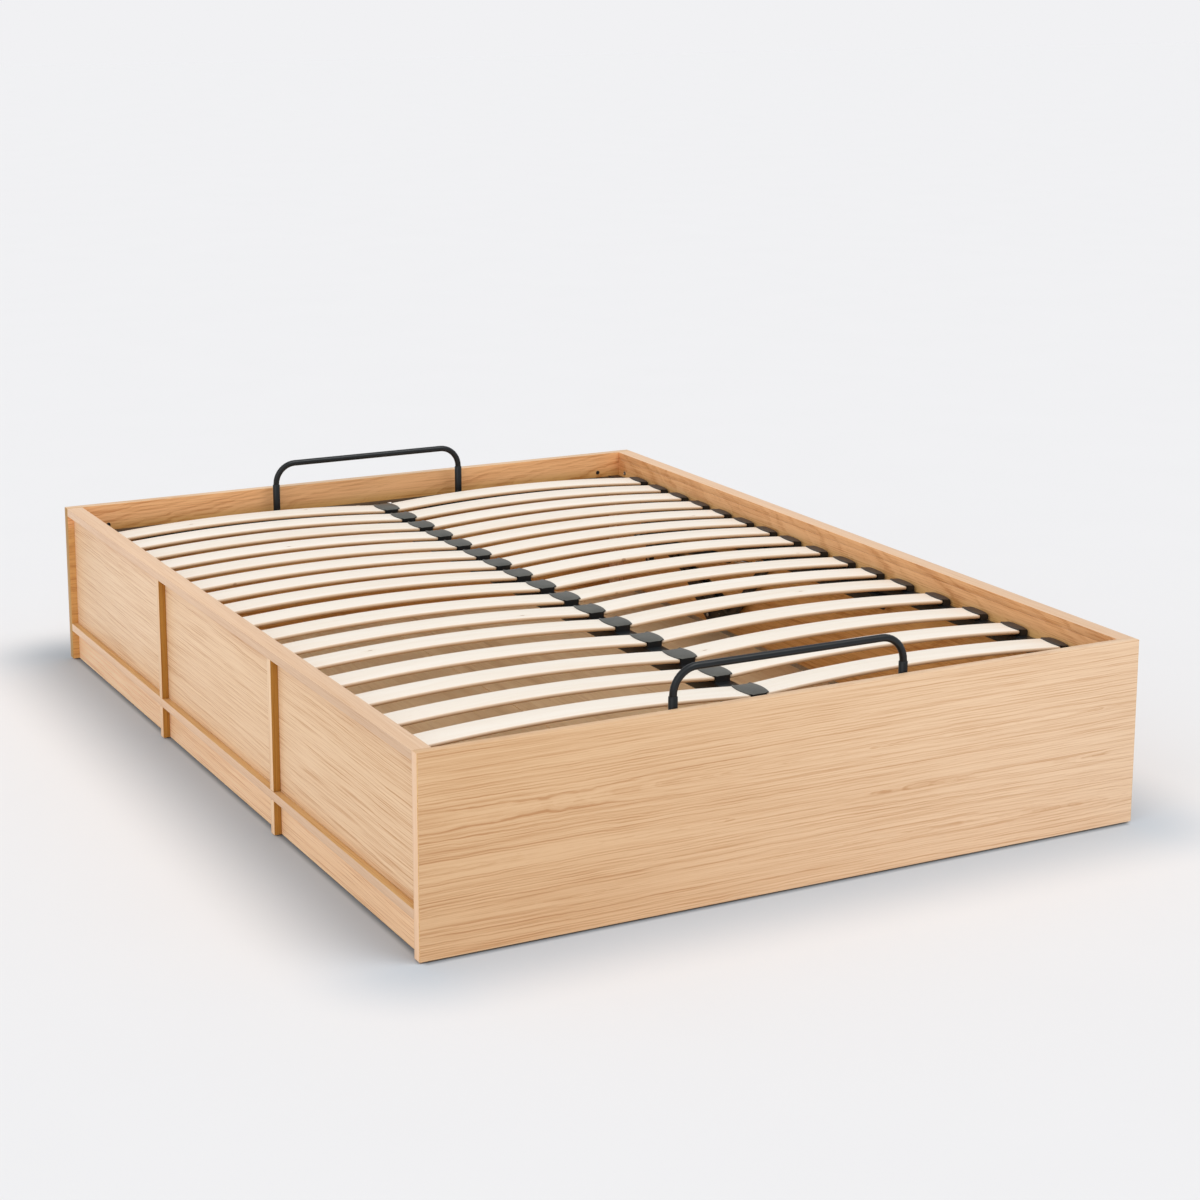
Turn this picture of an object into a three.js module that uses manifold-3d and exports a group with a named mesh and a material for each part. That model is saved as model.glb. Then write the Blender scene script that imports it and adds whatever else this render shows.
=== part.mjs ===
// Ottoman bed: a low oak-veneered box with a slatted base that lifts off its storage space.
// Millimetres. X runs across the bed, +Y towards the head end, +Z up.
// The origin is on the ground, under the middle of the bed.
import * as THREE from "three";
import { mergeVertices } from "three/addons/utils/BufferGeometryUtils.js";
import Module from "manifold-3d";

const wasm = await Module();
wasm.setup();

// Box
const BED_WIDTH = 1490;
const BED_LENGTH = 2050;
const RIM_HEIGHT = 365;
const GROUND_GAP = 3;
const END_BOARD_THICKNESS = 22;
const SIDE_PANEL_THICKNESS = 21;
const SIDE_RECESS = 15;
const CAP_RAIL_THICKNESS = 18;
const LOWER_RAIL_THICKNESS = 18;
const LOWER_RAIL_HEIGHT = 71;
const BATTEN_WIDTH = 18;
const BATTENS_PER_SIDE = 2;
const FIT_GAP = 0.3;

// Corner legs, which carry the boards and the closed base
const LEG_SIZE = 28;

// Storage floor
const FLOOR_PANEL_THICKNESS = 12;
const LEDGE_WIDTH = 22;
const LEDGE_HEIGHT = 24;
const LEDGE_WALL = 2;
const STRIP_WIDTH = 24;
const STRIP_TOP_WIDTH = 6;
const STRIP_WALL = 1.5;
const STRIP_WEB = 2;

// Steel frame of the slatted base
const BASE_SIDE_GAP = 6;
const BASE_END_GAP = 13;
const BASE_DROP = 57;
const TUBE_WIDTH = 30;
const TUBE_HEIGHT = 25;
const TUBE_WALL = 1.5;
const BEAM_WIDTH = 40;
const BEAM_HEIGHT = 30;
const GUSSET_THICKNESS = 3;
const GUSSET_REACH = 55;
const GUSSET_HALF_WIDTH = 80;

// Sprung slats and their caps. Rows lie closer together towards the head end, in three zones that end
// at a share of the length inside the tubes, counted from the head tube.
const HEAD_ZONE_PITCH = 104;
const HEAD_ZONE_END = 0.4;
const MIDDLE_ZONE_PITCH = 112.5;
const MIDDLE_ZONE_END = 0.64;
const FOOT_ZONE_PITCH = 131;
const SLAT_HEAD_CLEARANCE = 60;
const SLAT_FOOT_CLEARANCE = 40;
const SLAT_WIDTH = 68;
const SLAT_THICKNESS = 8;
const SLAT_BOW = 15;
const SLAT_EDGE_ROUND = 2.5;
const SLAT_STEPS = 8;
const SLAT_SEAT = 3;
const SLAT_MIDDLE_GAP = 16;
const CAP_DEPTH = 66;
const CAP_HEIGHT = 15.5;
const END_CAP_LENGTH = 24;
const CENTRE_CAP_LENGTH = 50;
const CAP_LIP = 5;

// Mattress arches at both ends of the base
const ARCH_SPAN = 480;
const ARCH_HEIGHT = 119;
const ARCH_BEND_RADIUS = 48;
const ARCH_TUBE_DIAMETER = 14;
const SLEEVE_DIAMETER = 17;
const SLEEVE_HEIGHT = 70;
const ARCH_SIDES = 12;
const BEND_STEPS = 6;

// Lift mechanism: pivots are set back from the head board's inner face
const LEVER_PIVOT_BACK = 596;
const LEVER_PIVOT_HEIGHT = 65;
const LINK_PIVOT_BACK = 384;
const LINK_PIVOT_HEIGHT = 130;
const BASE_LEVER_PIN_BACK = 238;
const BASE_LEVER_PIN_DROP = 93;
const BASE_LINK_PIN_BACK = 182;
const BASE_LINK_PIN_DROP = 73;
const SPRING_ANCHOR_BACK = 175;
const SPRING_ANCHOR_DROP = 103;
const SPRING_STUD_BACK = 763;
const SPRING_STUD_DROP = 48;
const HINGE_PLATE_THICKNESS = 4.5;
const HINGE_PLATE_MARGIN = 20;
const HINGE_PLATE_SHOULDER = 42;
const HINGE_PLATE_TIP_HEIGHT = 26;
const HINGE_PLATE_TIP_OFFSET = 12;
const HINGE_PLATE_TIP_WIDTH = 60;
const SCREW_INSET = 60;
const LINK_THICKNESS = 4;
const LEVER_THICKNESS = 4.5;
const BRACKET_THICKNESS = 4;
const SIDE_PLAY = 0.6;
const LINK_HALF_WIDTH = 13;
const LEVER_HALF_WIDTH = 14;
const PIN_RADIUS = 5;
const PIN_CLEARANCE = 0.3;
const SPACER_RADIUS = 9;
const RIVET_HEAD_RADIUS = 8;
const THIN_HEAD = 1.3;
const THICK_HEAD = 2.6;
const OPEN_PIN_RADIUS = 4;
const OPEN_PIVOT_CLEARANCE = 3;
const OPEN_PIN_HEAD_RADIUS = 10;
const OPEN_PIN_SPACER_RADIUS = 7;
const SCREW_HEAD_RADIUS = 6;
const SCREW_HEAD_HEIGHT = 2.5;
const BRACKET_FLANGE = 30;
const BRACKET_WEB_DEPTH = 34;
const BRACKET_FOOT_REACH = 1288;
const BRACKET_HEAD_REACH = 153;
const BRACKET_SHOULDER = 165;
const BRACKET_EDGE = 8;

// Gas springs
const CYLINDER_RADIUS = 11;
const CYLINDER_BORE_RADIUS = 9;
const CYLINDER_REACH = 455;
const CYLINDER_START = 20;
const CYLINDER_END_WALL = 10;
const CYLINDER_NECK_RADIUS = 6;
const ROD_RADIUS = 5;
const ROD_GUIDE_LENGTH = 8;
const ROD_GUIDE_CLEARANCE = 0.6;
const PISTON_RADIUS = 8.4;
const PISTON_LENGTH = 12;
const PISTON_BACK = 260;
const SPRING_SIDE_GAP = 5;
const SPRING_EYE_RADIUS = 12;
const SPRING_EYE_WIDTH = 10;
const STUD_SHOULDER_RADIUS = 7;
const ANCHOR_PLATE_LENGTH = 36;
const ANCHOR_PLATE_RISE = 12;
const ANCHOR_PLATE_FALL = 70;
const ROUND_SIDES = 16;

// Places that follow from the sizes above
const outerX = BED_WIDTH / 2;
const panelOuterX = outerX - SIDE_RECESS;
const innerX = panelOuterX - SIDE_PANEL_THICKNESS;
const outerY = BED_LENGTH / 2;
const innerY = outerY - END_BOARD_THICKNESS;
const capRailBottom = RIM_HEIGHT - CAP_RAIL_THICKNESS;
const lowerRailTop = LOWER_RAIL_HEIGHT + LOWER_RAIL_THICKNESS;
const baseX = innerX - BASE_SIDE_GAP;
const baseY = innerY - BASE_END_GAP;
const baseTop = RIM_HEIGHT - BASE_DROP;
const tubeBottom = baseTop - TUBE_HEIGHT;
const tubeInnerX = baseX - TUBE_WIDTH;
const tubeInnerY = baseY - TUBE_WIDTH;
const floorTop = GROUND_GAP + FLOOR_PANEL_THICKNESS;
const openHoleRadius = OPEN_PIN_RADIUS + OPEN_PIVOT_CLEARANCE;
const rowHalf = Math.max(SLAT_WIDTH, CAP_DEPTH) / 2;
const firstRow = tubeInnerY - SLAT_HEAD_CLEARANCE - rowHalf;
const lastRow = SLAT_FOOT_CLEARANCE + rowHalf - tubeInnerY;

// Pivots as [y, z]
const leverPivot = [innerY - LEVER_PIVOT_BACK, LEVER_PIVOT_HEIGHT];
const linkPivot = [innerY - LINK_PIVOT_BACK, LINK_PIVOT_HEIGHT];
const baseLeverPin = [innerY - BASE_LEVER_PIN_BACK, tubeBottom - BASE_LEVER_PIN_DROP];
const baseLinkPin = [innerY - BASE_LINK_PIN_BACK, tubeBottom - BASE_LINK_PIN_DROP];
const springAnchor = [innerY - SPRING_ANCHOR_BACK, tubeBottom - SPRING_ANCHOR_DROP];
const springStud = [innerY - SPRING_STUD_BACK, tubeBottom - SPRING_STUD_DROP];

// Layers of the mechanism, from the side panel inwards, as distances from the bed's middle
const plateFace = innerX - HINGE_PLATE_THICKNESS;
const linkOut = plateFace - SIDE_PLAY;
const linkIn = linkOut - LINK_THICKNESS;
const thinHeadOut = linkIn - SIDE_PLAY;
const thinHeadIn = thinHeadOut - THIN_HEAD;
const leverOut = thinHeadIn - SIDE_PLAY;
const leverIn = leverOut - LEVER_THICKNESS;
const webOut = leverIn - SIDE_PLAY;
const webIn = webOut - BRACKET_THICKNESS;
const springX = webIn - SPRING_SIDE_GAP - CYLINDER_RADIUS;
const eyeOut = springX + SPRING_EYE_WIDTH / 2;
const eyeIn = springX - SPRING_EYE_WIDTH / 2;

// Finishes
const finish = (color, roughness, metalness) =>
  new THREE.MeshStandardMaterial({ color, roughness, metalness });
const oak = () => finish(0xdcb58c, 0.55, 0);
const birch = () => finish(0xf2e6d6, 0.5, 0);
const floorBoard = () => finish(0xa9794c, 0.6, 0);
const blackSteel = () => finish(0x26282a, 0.45, 0.6);
const zincSteel = () => finish(0xb9bcbe, 0.35, 0.9);
const chrome = () => finish(0xdadcde, 0.12, 1);

// A geometry as a closed solid, and back again
function toSolid(geometry) {
  const plain = geometry.clone();
  plain.deleteAttribute("normal");
  plain.deleteAttribute("uv");
  const merged = mergeVertices(plain, 1e-4);
  return new wasm.Manifold(
    new wasm.Mesh({
      numProp: 3,
      vertProperties: merged.attributes.position.array,
      triVerts: new Uint32Array(merged.index.array),
    }),
  );
}

function toGeometry(solid) {
  const { vertProperties, triVerts } = solid.getMesh();
  const geometry = new THREE.BufferGeometry();
  geometry.setAttribute("position", new THREE.BufferAttribute(vertProperties, 3));
  geometry.setIndex(new THREE.BufferAttribute(triVerts, 1));
  return geometry;
}

function join(...geometries) {
  return toGeometry(geometries.map(toSolid).reduce((whole, next) => whole.add(next)));
}

function cut(geometry, ...tools) {
  return toGeometry(tools.map(toSolid).reduce((left, tool) => left.subtract(tool), toSolid(geometry)));
}

// Plain shapes
function block([x0, x1], [y0, y1], [z0, z1]) {
  const geometry = new THREE.BoxGeometry(x1 - x0, y1 - y0, z1 - z0);
  return geometry.translate((x0 + x1) / 2, (y0 + y1) / 2, (z0 + z1) / 2);
}

function polygon(points) {
  return new THREE.Shape(points.map(([u, v]) => new THREE.Vector2(u, v)));
}

// An outline in Y and Z, extruded along X
function alongX(outline, [x0, x1]) {
  const geometry = new THREE.ExtrudeGeometry(outline, { depth: x1 - x0, bevelEnabled: false });
  const axes = new THREE.Matrix4().set(0, 0, 1, x0, 1, 0, 0, 0, 0, 1, 0, 0, 0, 0, 0, 1);
  return geometry.applyMatrix4(axes);
}

// An outline in X and Z, extruded along Y, with its long edges rounded if asked
function alongY(outline, [y0, y1], round = 0) {
  const bevel = round
    ? { bevelEnabled: true, bevelThickness: round, bevelSize: round, bevelOffset: -round, bevelSegments: 1 }
    : { bevelEnabled: false };
  const geometry = new THREE.ExtrudeGeometry(outline, { depth: y1 - y0 - 2 * round, ...bevel });
  const axes = new THREE.Matrix4().set(1, 0, 0, 0, 0, 0, -1, y1 - round, 0, 1, 0, 0, 0, 0, 0, 1);
  return geometry.applyMatrix4(axes);
}

// An outline in X and Y, extruded along Z
function alongZ(outline, [z0, z1]) {
  return new THREE.ExtrudeGeometry(outline, { depth: z1 - z0, bevelEnabled: false }).translate(0, 0, z0);
}

// A round bar along X, centred on [y, z]
function barX([y, z], radius, [x0, x1]) {
  const geometry = new THREE.CylinderGeometry(radius, radius, x1 - x0, ROUND_SIDES);
  return geometry.rotateZ(Math.PI / 2).translate((x0 + x1) / 2, y, z);
}

// A flat bar in Y and Z with round ends, from one pivot to another
function linkOutline([y0, z0], [y1, z1], radius) {
  const along = Math.atan2(z1 - z0, y1 - y0);
  const shape = new THREE.Shape();
  shape.absarc(y1, z1, radius, along - Math.PI / 2, along + Math.PI / 2);
  shape.absarc(y0, z0, radius, along + Math.PI / 2, along + (3 * Math.PI) / 2);
  shape.closePath();
  return new THREE.Shape(shape.getPoints(ROUND_SIDES / 2).slice(0, -1));
}

// An interval of distances from the bed's middle, on the side that side names
const onSide = (side, low, high) => (side > 0 ? [low, high] : [-high, -low]);

const bed = new THREE.Group();

function add(name, geometry, material, place = bed) {
  const mesh = new THREE.Mesh(geometry, material);
  mesh.name = name;
  place.add(mesh);
  return mesh;
}

const sides = [
  ["left", -1],
  ["right", 1],
];
const ends = [
  ["foot", -1],
  ["head", 1],
];

// End boards stand across the full width and cover the ends of the sides.
function addEndBoards() {
  for (const [end, way] of ends) {
    const depth = way > 0 ? [innerY, outerY] : [-outerY, -innerY];
    add(`${end}_board`, block([-outerX, outerX], depth, [GROUND_GAP, RIM_HEIGHT]), oak());
  }
}

// Battens divide each side into equal bays.
const battenPlaces = Array.from(
  { length: BATTENS_PER_SIDE },
  (_, i) => -innerY + ((i + 1) * 2 * innerY) / (BATTENS_PER_SIDE + 1),
);

// The lower rail is halved over each batten from behind, and each batten over the rail from in front.
function addSides() {
  const lapX = panelOuterX + SIDE_RECESS / 2;
  const batten = BATTEN_WIDTH / 2;
  for (const [side, sign] of sides) {
    const panel = onSide(sign, innerX, panelOuterX);
    const cap = onSide(sign, innerX, outerX);
    const length = [-innerY, innerY];
    add(`side_panel_${side}`, block(panel, length, [GROUND_GAP, capRailBottom]), oak());
    add(`cap_rail_${side}`, block(cap, length, [capRailBottom, RIM_HEIGHT]), oak());

    const railOutline = [[panelOuterX, -innerY]];
    for (const y of battenPlaces) {
      railOutline.push([panelOuterX, y - batten - FIT_GAP]);
      railOutline.push([lapX + FIT_GAP, y - batten - FIT_GAP]);
      railOutline.push([lapX + FIT_GAP, y + batten + FIT_GAP]);
      railOutline.push([panelOuterX, y + batten + FIT_GAP]);
    }
    railOutline.push([panelOuterX, innerY], [outerX, innerY], [outerX, -innerY]);
    const rail = polygon(railOutline.map(([x, y]) => [sign * x, y]));
    add(`lower_rail_${side}`, alongZ(rail, [LOWER_RAIL_HEIGHT, lowerRailTop]), oak());

    const battenOutline = [
      [panelOuterX, GROUND_GAP],
      [outerX, GROUND_GAP],
      [outerX, LOWER_RAIL_HEIGHT - FIT_GAP],
      [lapX, LOWER_RAIL_HEIGHT - FIT_GAP],
      [lapX, lowerRailTop + FIT_GAP],
      [outerX, lowerRailTop + FIT_GAP],
      [outerX, capRailBottom],
      [panelOuterX, capRailBottom],
    ];
    battenPlaces.forEach((y, i) => {
      const shape = polygon(battenOutline.map(([x, z]) => [sign * x, z]));
      add(`batten_${side}_${i + 1}`, alongY(shape, [y - batten, y + batten]), oak());
    });
  }
}

// Legs stand in the inner corners, and the closed base rests on them.
function addCornerLegs() {
  for (const [side, sign] of sides) {
    for (const [end, way] of ends) {
      const across = onSide(sign, innerX - LEG_SIZE, innerX);
      const deep = onSide(way, innerY - LEG_SIZE, innerY);
      add(`corner_leg_${end}_${side}`, block(across, deep, [0, tubeBottom - FIT_GAP]), oak());
    }
  }
}

// Two boards lie on steel ledges at the sides and meet in a joining strip down the middle.
function addStorageFloor() {
  const ledgeX = innerX - LEDGE_WALL;
  const notchX = innerX - LEG_SIZE;
  const notchY = innerY - LEG_SIZE;
  const stripEdge = STRIP_WEB / 2;
  for (const [side, sign] of sides) {
    const outline = [
      [stripEdge, -innerY],
      [notchX, -innerY],
      [notchX, -notchY],
      [ledgeX, -notchY],
      [ledgeX, notchY],
      [notchX, notchY],
      [notchX, innerY],
      [stripEdge, innerY],
    ];
    const board = polygon(outline.map(([x, y]) => [sign * x, y]));
    add(`floor_panel_${side}`, alongZ(board, [GROUND_GAP, floorTop]), floorBoard());

    const angle = [
      [innerX - LEDGE_WIDTH, GROUND_GAP - LEDGE_WALL],
      [innerX, GROUND_GAP - LEDGE_WALL],
      [innerX, GROUND_GAP - LEDGE_WALL + LEDGE_HEIGHT],
      [ledgeX, GROUND_GAP - LEDGE_WALL + LEDGE_HEIGHT],
      [ledgeX, GROUND_GAP],
      [innerX - LEDGE_WIDTH, GROUND_GAP],
    ];
    const ledge = polygon(angle.map(([x, z]) => [sign * x, z]));
    add(`floor_ledge_${side}`, alongY(ledge, [-notchY, notchY]), zincSteel());
  }
  const flange = STRIP_WIDTH / 2;
  const topFlange = STRIP_TOP_WIDTH / 2;
  const strip = polygon([
    [-flange, GROUND_GAP - STRIP_WALL],
    [flange, GROUND_GAP - STRIP_WALL],
    [flange, GROUND_GAP],
    [stripEdge, GROUND_GAP],
    [stripEdge, floorTop],
    [topFlange, floorTop],
    [topFlange, floorTop + STRIP_WALL],
    [-topFlange, floorTop + STRIP_WALL],
    [-topFlange, floorTop],
    [-stripEdge, floorTop],
    [-stripEdge, GROUND_GAP],
    [-flange, GROUND_GAP],
  ]);
  add("floor_joint_strip", alongY(strip, [-innerY, innerY]), floorBoard());
}

// The outline of a rectangular tube, with its bore
function tubeOutline([u0, u1], [v0, v1]) {
  const ring = (inset) => [
    [u0 + inset, v0 + inset],
    [u1 - inset, v0 + inset],
    [u1 - inset, v1 - inset],
    [u0 + inset, v1 - inset],
  ];
  const outline = polygon(ring(0));
  outline.holes.push(polygon(ring(TUBE_WALL)));
  return outline;
}

// Welded steel tubes carry the slats.
function addBaseFrame() {
  const height = [tubeBottom, baseTop];
  for (const [side, sign] of sides) {
    const outline = tubeOutline(onSide(sign, tubeInnerX, baseX), height);
    add(`side_tube_${side}`, alongY(outline, [-baseY, baseY]), blackSteel());
  }
  for (const [end, way] of ends) {
    const outline = tubeOutline(onSide(way, tubeInnerY, baseY), height);
    add(`${end}_tube`, alongX(outline, [-tubeInnerX, tubeInnerX]), blackSteel());
  }
  const beamX = BEAM_WIDTH / 2;
  const beam = tubeOutline([-beamX, beamX], [baseTop - BEAM_HEIGHT, baseTop]);
  const gussets = ends.map(([, way]) =>
    alongZ(
      polygon([
        [-GUSSET_HALF_WIDTH, way * tubeInnerY],
        [GUSSET_HALF_WIDTH, way * tubeInnerY],
        [beamX, way * (tubeInnerY - GUSSET_REACH)],
        [-beamX, way * (tubeInnerY - GUSSET_REACH)],
      ]),
      [baseTop - GUSSET_THICKNESS, baseTop],
    ),
  );
  const bore = [TUBE_WALL - beamX, beamX - TUBE_WALL];
  const floor = baseTop - BEAM_HEIGHT + TUBE_WALL;
  const inside = block(bore, [-tubeInnerY - 1, tubeInnerY + 1], [floor, baseTop - TUBE_WALL]);
  const whole = cut(join(alongY(beam, [-tubeInnerY, tubeInnerY]), ...gussets), inside);
  add("centre_beam", whole, blackSteel());
}

// Height of a slat's underside above its seat, at a share t of its length
const bowAt = (t) => SLAT_BOW * (1 - (2 * t - 1) ** 2);

// The distance from a row to the next one towards the foot end
function pitchAt(y) {
  const passed = (tubeInnerY - y) / (2 * tubeInnerY);
  if (passed < HEAD_ZONE_END) {
    return HEAD_ZONE_PITCH;
  }
  return passed < MIDDLE_ZONE_END ? MIDDLE_ZONE_PITCH : FOOT_ZONE_PITCH;
}

// Each row is two bowed slats in a saddle cap on the beam and an end cap on each side tube.
function addSlatRows() {
  const seat = baseTop + SLAT_SEAT;
  const start = SLAT_MIDDLE_GAP / 2;
  const finishX = baseX - END_CAP_LENGTH / 3;
  const capTop = baseTop + CAP_HEIGHT;
  const steps = Array.from({ length: SLAT_STEPS + 1 }, (_, i) => i / SLAT_STEPS);
  const underside = steps.map((t) => [start + t * (finishX - start), seat + bowAt(t)]);
  const topside = underside.map(([x, z]) => [x, z + SLAT_THICKNESS]).reverse();
  const half = CENTRE_CAP_LENGTH / 2;
  const lipZ = capTop - CAP_LIP;
  const centreCap = [
    [-half + CAP_LIP, baseTop],
    [half - CAP_LIP, baseTop],
    [half, lipZ],
    [half - CAP_LIP, capTop],
    [-half + CAP_LIP, capTop],
    [-half, lipZ],
  ];
  const endCap = [
    [baseX - END_CAP_LENGTH + CAP_LIP, baseTop],
    [baseX, baseTop],
    [baseX, lipZ],
    [baseX - CAP_LIP, capTop],
    [baseX - END_CAP_LENGTH + CAP_LIP, capTop],
    [baseX - END_CAP_LENGTH, lipZ],
  ];
  for (let middle = firstRow, row = 1; middle >= lastRow; middle -= pitchAt(middle), row++) {
    const slat = [middle - SLAT_WIDTH / 2, middle + SLAT_WIDTH / 2];
    const cap = [middle - CAP_DEPTH / 2, middle + CAP_DEPTH / 2];
    const pieces = [alongY(polygon(centreCap), cap)];
    for (const [, sign] of sides) {
      const mirror = (points) => polygon(points.map(([x, z]) => [sign * x, z]));
      pieces.push(alongY(mirror([...underside, ...topside]), slat, SLAT_EDGE_ROUND));
      pieces.push(alongY(mirror(endCap), cap));
    }
    add(`slat_row_${String(row).padStart(2, "0")}`, join(...pieces), birch());
  }
}

// A tube's centre line: up one leg, round a bend, across, round a bend and down the other leg.
// Its steps are close together only in the bends.
class ArchCurve extends THREE.Curve {
  constructor(span, height, radius, bendSteps) {
    super();
    this.stations = [new THREE.Vector3(-span / 2, 0, 0)];
    for (const [sign, from] of [[-1, Math.PI], [1, Math.PI / 2]]) {
      for (let i = 0; i <= bendSteps; i++) {
        const angle = from - (i / bendSteps) * (Math.PI / 2);
        const x = sign * (span / 2 - radius) + radius * Math.cos(angle);
        this.stations.push(new THREE.Vector3(x, 0, height - radius + radius * Math.sin(angle)));
      }
    }
    this.stations.push(new THREE.Vector3(span / 2, 0, 0));
    this.steps = this.stations.length - 1;
  }

  getPoint(t, target = new THREE.Vector3()) {
    const at = Math.min(t, 1) * this.steps;
    const i = Math.min(Math.floor(at + 1e-9), this.steps - 1);
    return target.lerpVectors(this.stations[i], this.stations[i + 1], at - i);
  }

  getPointAt(u, target) {
    return this.getPoint(u, target);
  }

  getTangentAt(u, target = new THREE.Vector3()) {
    const i = Math.round(u * this.steps);
    const before = this.stations[Math.max(i - 1, 0)];
    const here = this.stations[i];
    const after = this.stations[Math.min(i + 1, this.steps)];
    const into = here.clone().sub(before).normalize();
    return target.copy(after).sub(here).normalize().add(into).normalize();
  }

  getSpacedPoints() {
    return this.stations.map((point) => point.clone());
  }
}

// Both arches keep the mattress in place, and the one at the foot is the lifting handle.
function addArches() {
  const path = new ArchCurve(ARCH_SPAN, ARCH_HEIGHT, ARCH_BEND_RADIUS, BEND_STEPS);
  const section = new THREE.Shape(
    Array.from({ length: ARCH_SIDES }, (_, i) => {
      const angle = (2 * Math.PI * i) / ARCH_SIDES;
      const radius = ARCH_TUBE_DIAMETER / 2;
      return new THREE.Vector2(radius * Math.cos(angle), radius * Math.sin(angle));
    }),
  );
  for (const [end, way] of ends) {
    const middle = way * (baseY - TUBE_WIDTH / 2);
    const bar = new THREE.ExtrudeGeometry(section, { steps: path.steps, extrudePath: path });
    const pieces = [bar.translate(0, middle, baseTop)];
    for (const [, sign] of sides) {
      const sleeve = new THREE.CylinderGeometry(
        SLEEVE_DIAMETER / 2,
        SLEEVE_DIAMETER / 2,
        SLEEVE_HEIGHT,
        ARCH_SIDES,
      );
      sleeve.rotateX(Math.PI / 2);
      pieces.push(sleeve.translate((sign * ARCH_SPAN) / 2, middle, baseTop + SLEEVE_HEIGHT / 2));
    }
    add(`${end}_arch`, join(...pieces), blackSteel());
  }
}

// The plate on the side panel holds the fixed pins of the lever and of the rear link.
function addHingePlates() {
  const [leverY, leverZ] = leverPivot;
  const [linkY, linkZ] = linkPivot;
  const edge = HINGE_PLATE_MARGIN;
  const tip = [(leverY + linkY) / 2 + HINGE_PLATE_TIP_OFFSET, HINGE_PLATE_TIP_HEIGHT];
  const tipHalf = HINGE_PLATE_TIP_WIDTH / 2;
  const outline = [
    [leverY - edge, leverZ + edge],
    [leverY - edge, leverZ - edge],
    [tip[0] - tipHalf, tip[1] + edge / 2],
    tip,
    [tip[0] + tipHalf, tip[1] + edge],
    [linkY + edge, linkZ - edge],
    [linkY + edge, linkZ + edge],
    [linkY - HINGE_PLATE_SHOULDER, linkZ + edge],
  ];
  const screws = [
    [leverY + SCREW_INSET, leverZ],
    [leverY + SCREW_INSET, leverZ + edge],
    [tip[0], tip[1] + edge],
    [linkY - SCREW_INSET, linkZ],
  ];
  for (const [side, sign] of sides) {
    const span = (low, high) => onSide(sign, low, high);
    const headIn = leverIn - SIDE_PLAY - THICK_HEAD;
    const pieces = [
      alongX(polygon(outline), span(plateFace, innerX)),
      barX(leverPivot, SPACER_RADIUS, span(thinHeadIn, plateFace + 1)),
      barX(leverPivot, PIN_RADIUS, span(headIn + 1, thinHeadIn + 1)),
      barX(leverPivot, SPACER_RADIUS, span(headIn, leverIn - SIDE_PLAY)),
      barX(linkPivot, PIN_RADIUS, span(thinHeadIn + THIN_HEAD / 2, plateFace + 1)),
      barX(linkPivot, RIVET_HEAD_RADIUS, span(thinHeadIn, thinHeadOut)),
      ...screws.map((at) => barX(at, SCREW_HEAD_RADIUS, span(plateFace - SCREW_HEAD_HEIGHT, plateFace + 1))),
    ];
    add(`hinge_plate_${side}`, join(...pieces), blackSteel());
  }
}

// The anchor plate on the side panel holds the spring's fixed end.
function addSpringAnchors() {
  const [y, z] = springAnchor;
  const half = ANCHOR_PLATE_LENGTH / 2;
  for (const [side, sign] of sides) {
    const span = (low, high) => onSide(sign, low, high);
    const headOut = eyeIn - SIDE_PLAY;
    const rise = [z - ANCHOR_PLATE_FALL, z + ANCHOR_PLATE_RISE];
    const pieces = [
      block(span(plateFace, innerX), [y - half, y + half], rise),
      barX(springAnchor, STUD_SHOULDER_RADIUS, span(eyeOut + SIDE_PLAY, plateFace + 1)),
      barX(springAnchor, PIN_RADIUS, span(headOut - 1, eyeOut + SIDE_PLAY + 1)),
      barX(springAnchor, RIVET_HEAD_RADIUS, span(headOut - THICK_HEAD, headOut)),
    ];
    for (const drop of [ANCHOR_PLATE_FALL / 2, ANCHOR_PLATE_FALL - SCREW_HEAD_RADIUS * 2]) {
      const screw = span(plateFace - SCREW_HEAD_HEIGHT, plateFace + 1);
      pieces.push(barX([y, z - drop], SCREW_HEAD_RADIUS, screw));
    }
    add(`spring_anchor_${side}`, join(...pieces), blackSteel());
  }
}

// The lever turns on the hinge plate, lifts the base at one end and is pushed by the spring at the other.
function addLevers() {
  const hole = PIN_RADIUS + PIN_CLEARANCE;
  for (const [side, sign] of sides) {
    const span = (low, high) => onSide(sign, low, high);
    const through = span(leverIn - 1, leverOut + 1);
    const headOut = eyeIn - SIDE_PLAY;
    const plate = join(
      alongX(linkOutline(leverPivot, baseLeverPin, LEVER_HALF_WIDTH), span(leverIn, leverOut)),
      alongX(linkOutline(leverPivot, springStud, LEVER_HALF_WIDTH), span(leverIn, leverOut)),
      barX(springStud, STUD_SHOULDER_RADIUS, span(eyeOut + SIDE_PLAY, leverIn + 1)),
      barX(springStud, PIN_RADIUS, span(headOut - 1, eyeOut + SIDE_PLAY + 1)),
      barX(springStud, OPEN_PIN_HEAD_RADIUS, span(headOut - THICK_HEAD, headOut)),
    );
    const drilled = cut(plate, barX(leverPivot, hole, through), barX(baseLeverPin, hole, through));
    add(`lift_lever_${side}`, drilled, blackSteel());
  }
}

// The rear link steers the base; its upper hole is wide, because the base turns on the lever's pin.
function addRearLinks() {
  for (const [side, sign] of sides) {
    const bar = alongX(linkOutline(linkPivot, baseLinkPin, LINK_HALF_WIDTH), onSide(sign, linkIn, linkOut));
    const through = onSide(sign, linkIn - 1, linkOut + 1);
    const holes = [
      barX(linkPivot, PIN_RADIUS + PIN_CLEARANCE, through),
      barX(baseLinkPin, openHoleRadius, through),
    ];
    add(`rear_link_${side}`, cut(bar, ...holes), blackSteel());
  }
}

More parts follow.
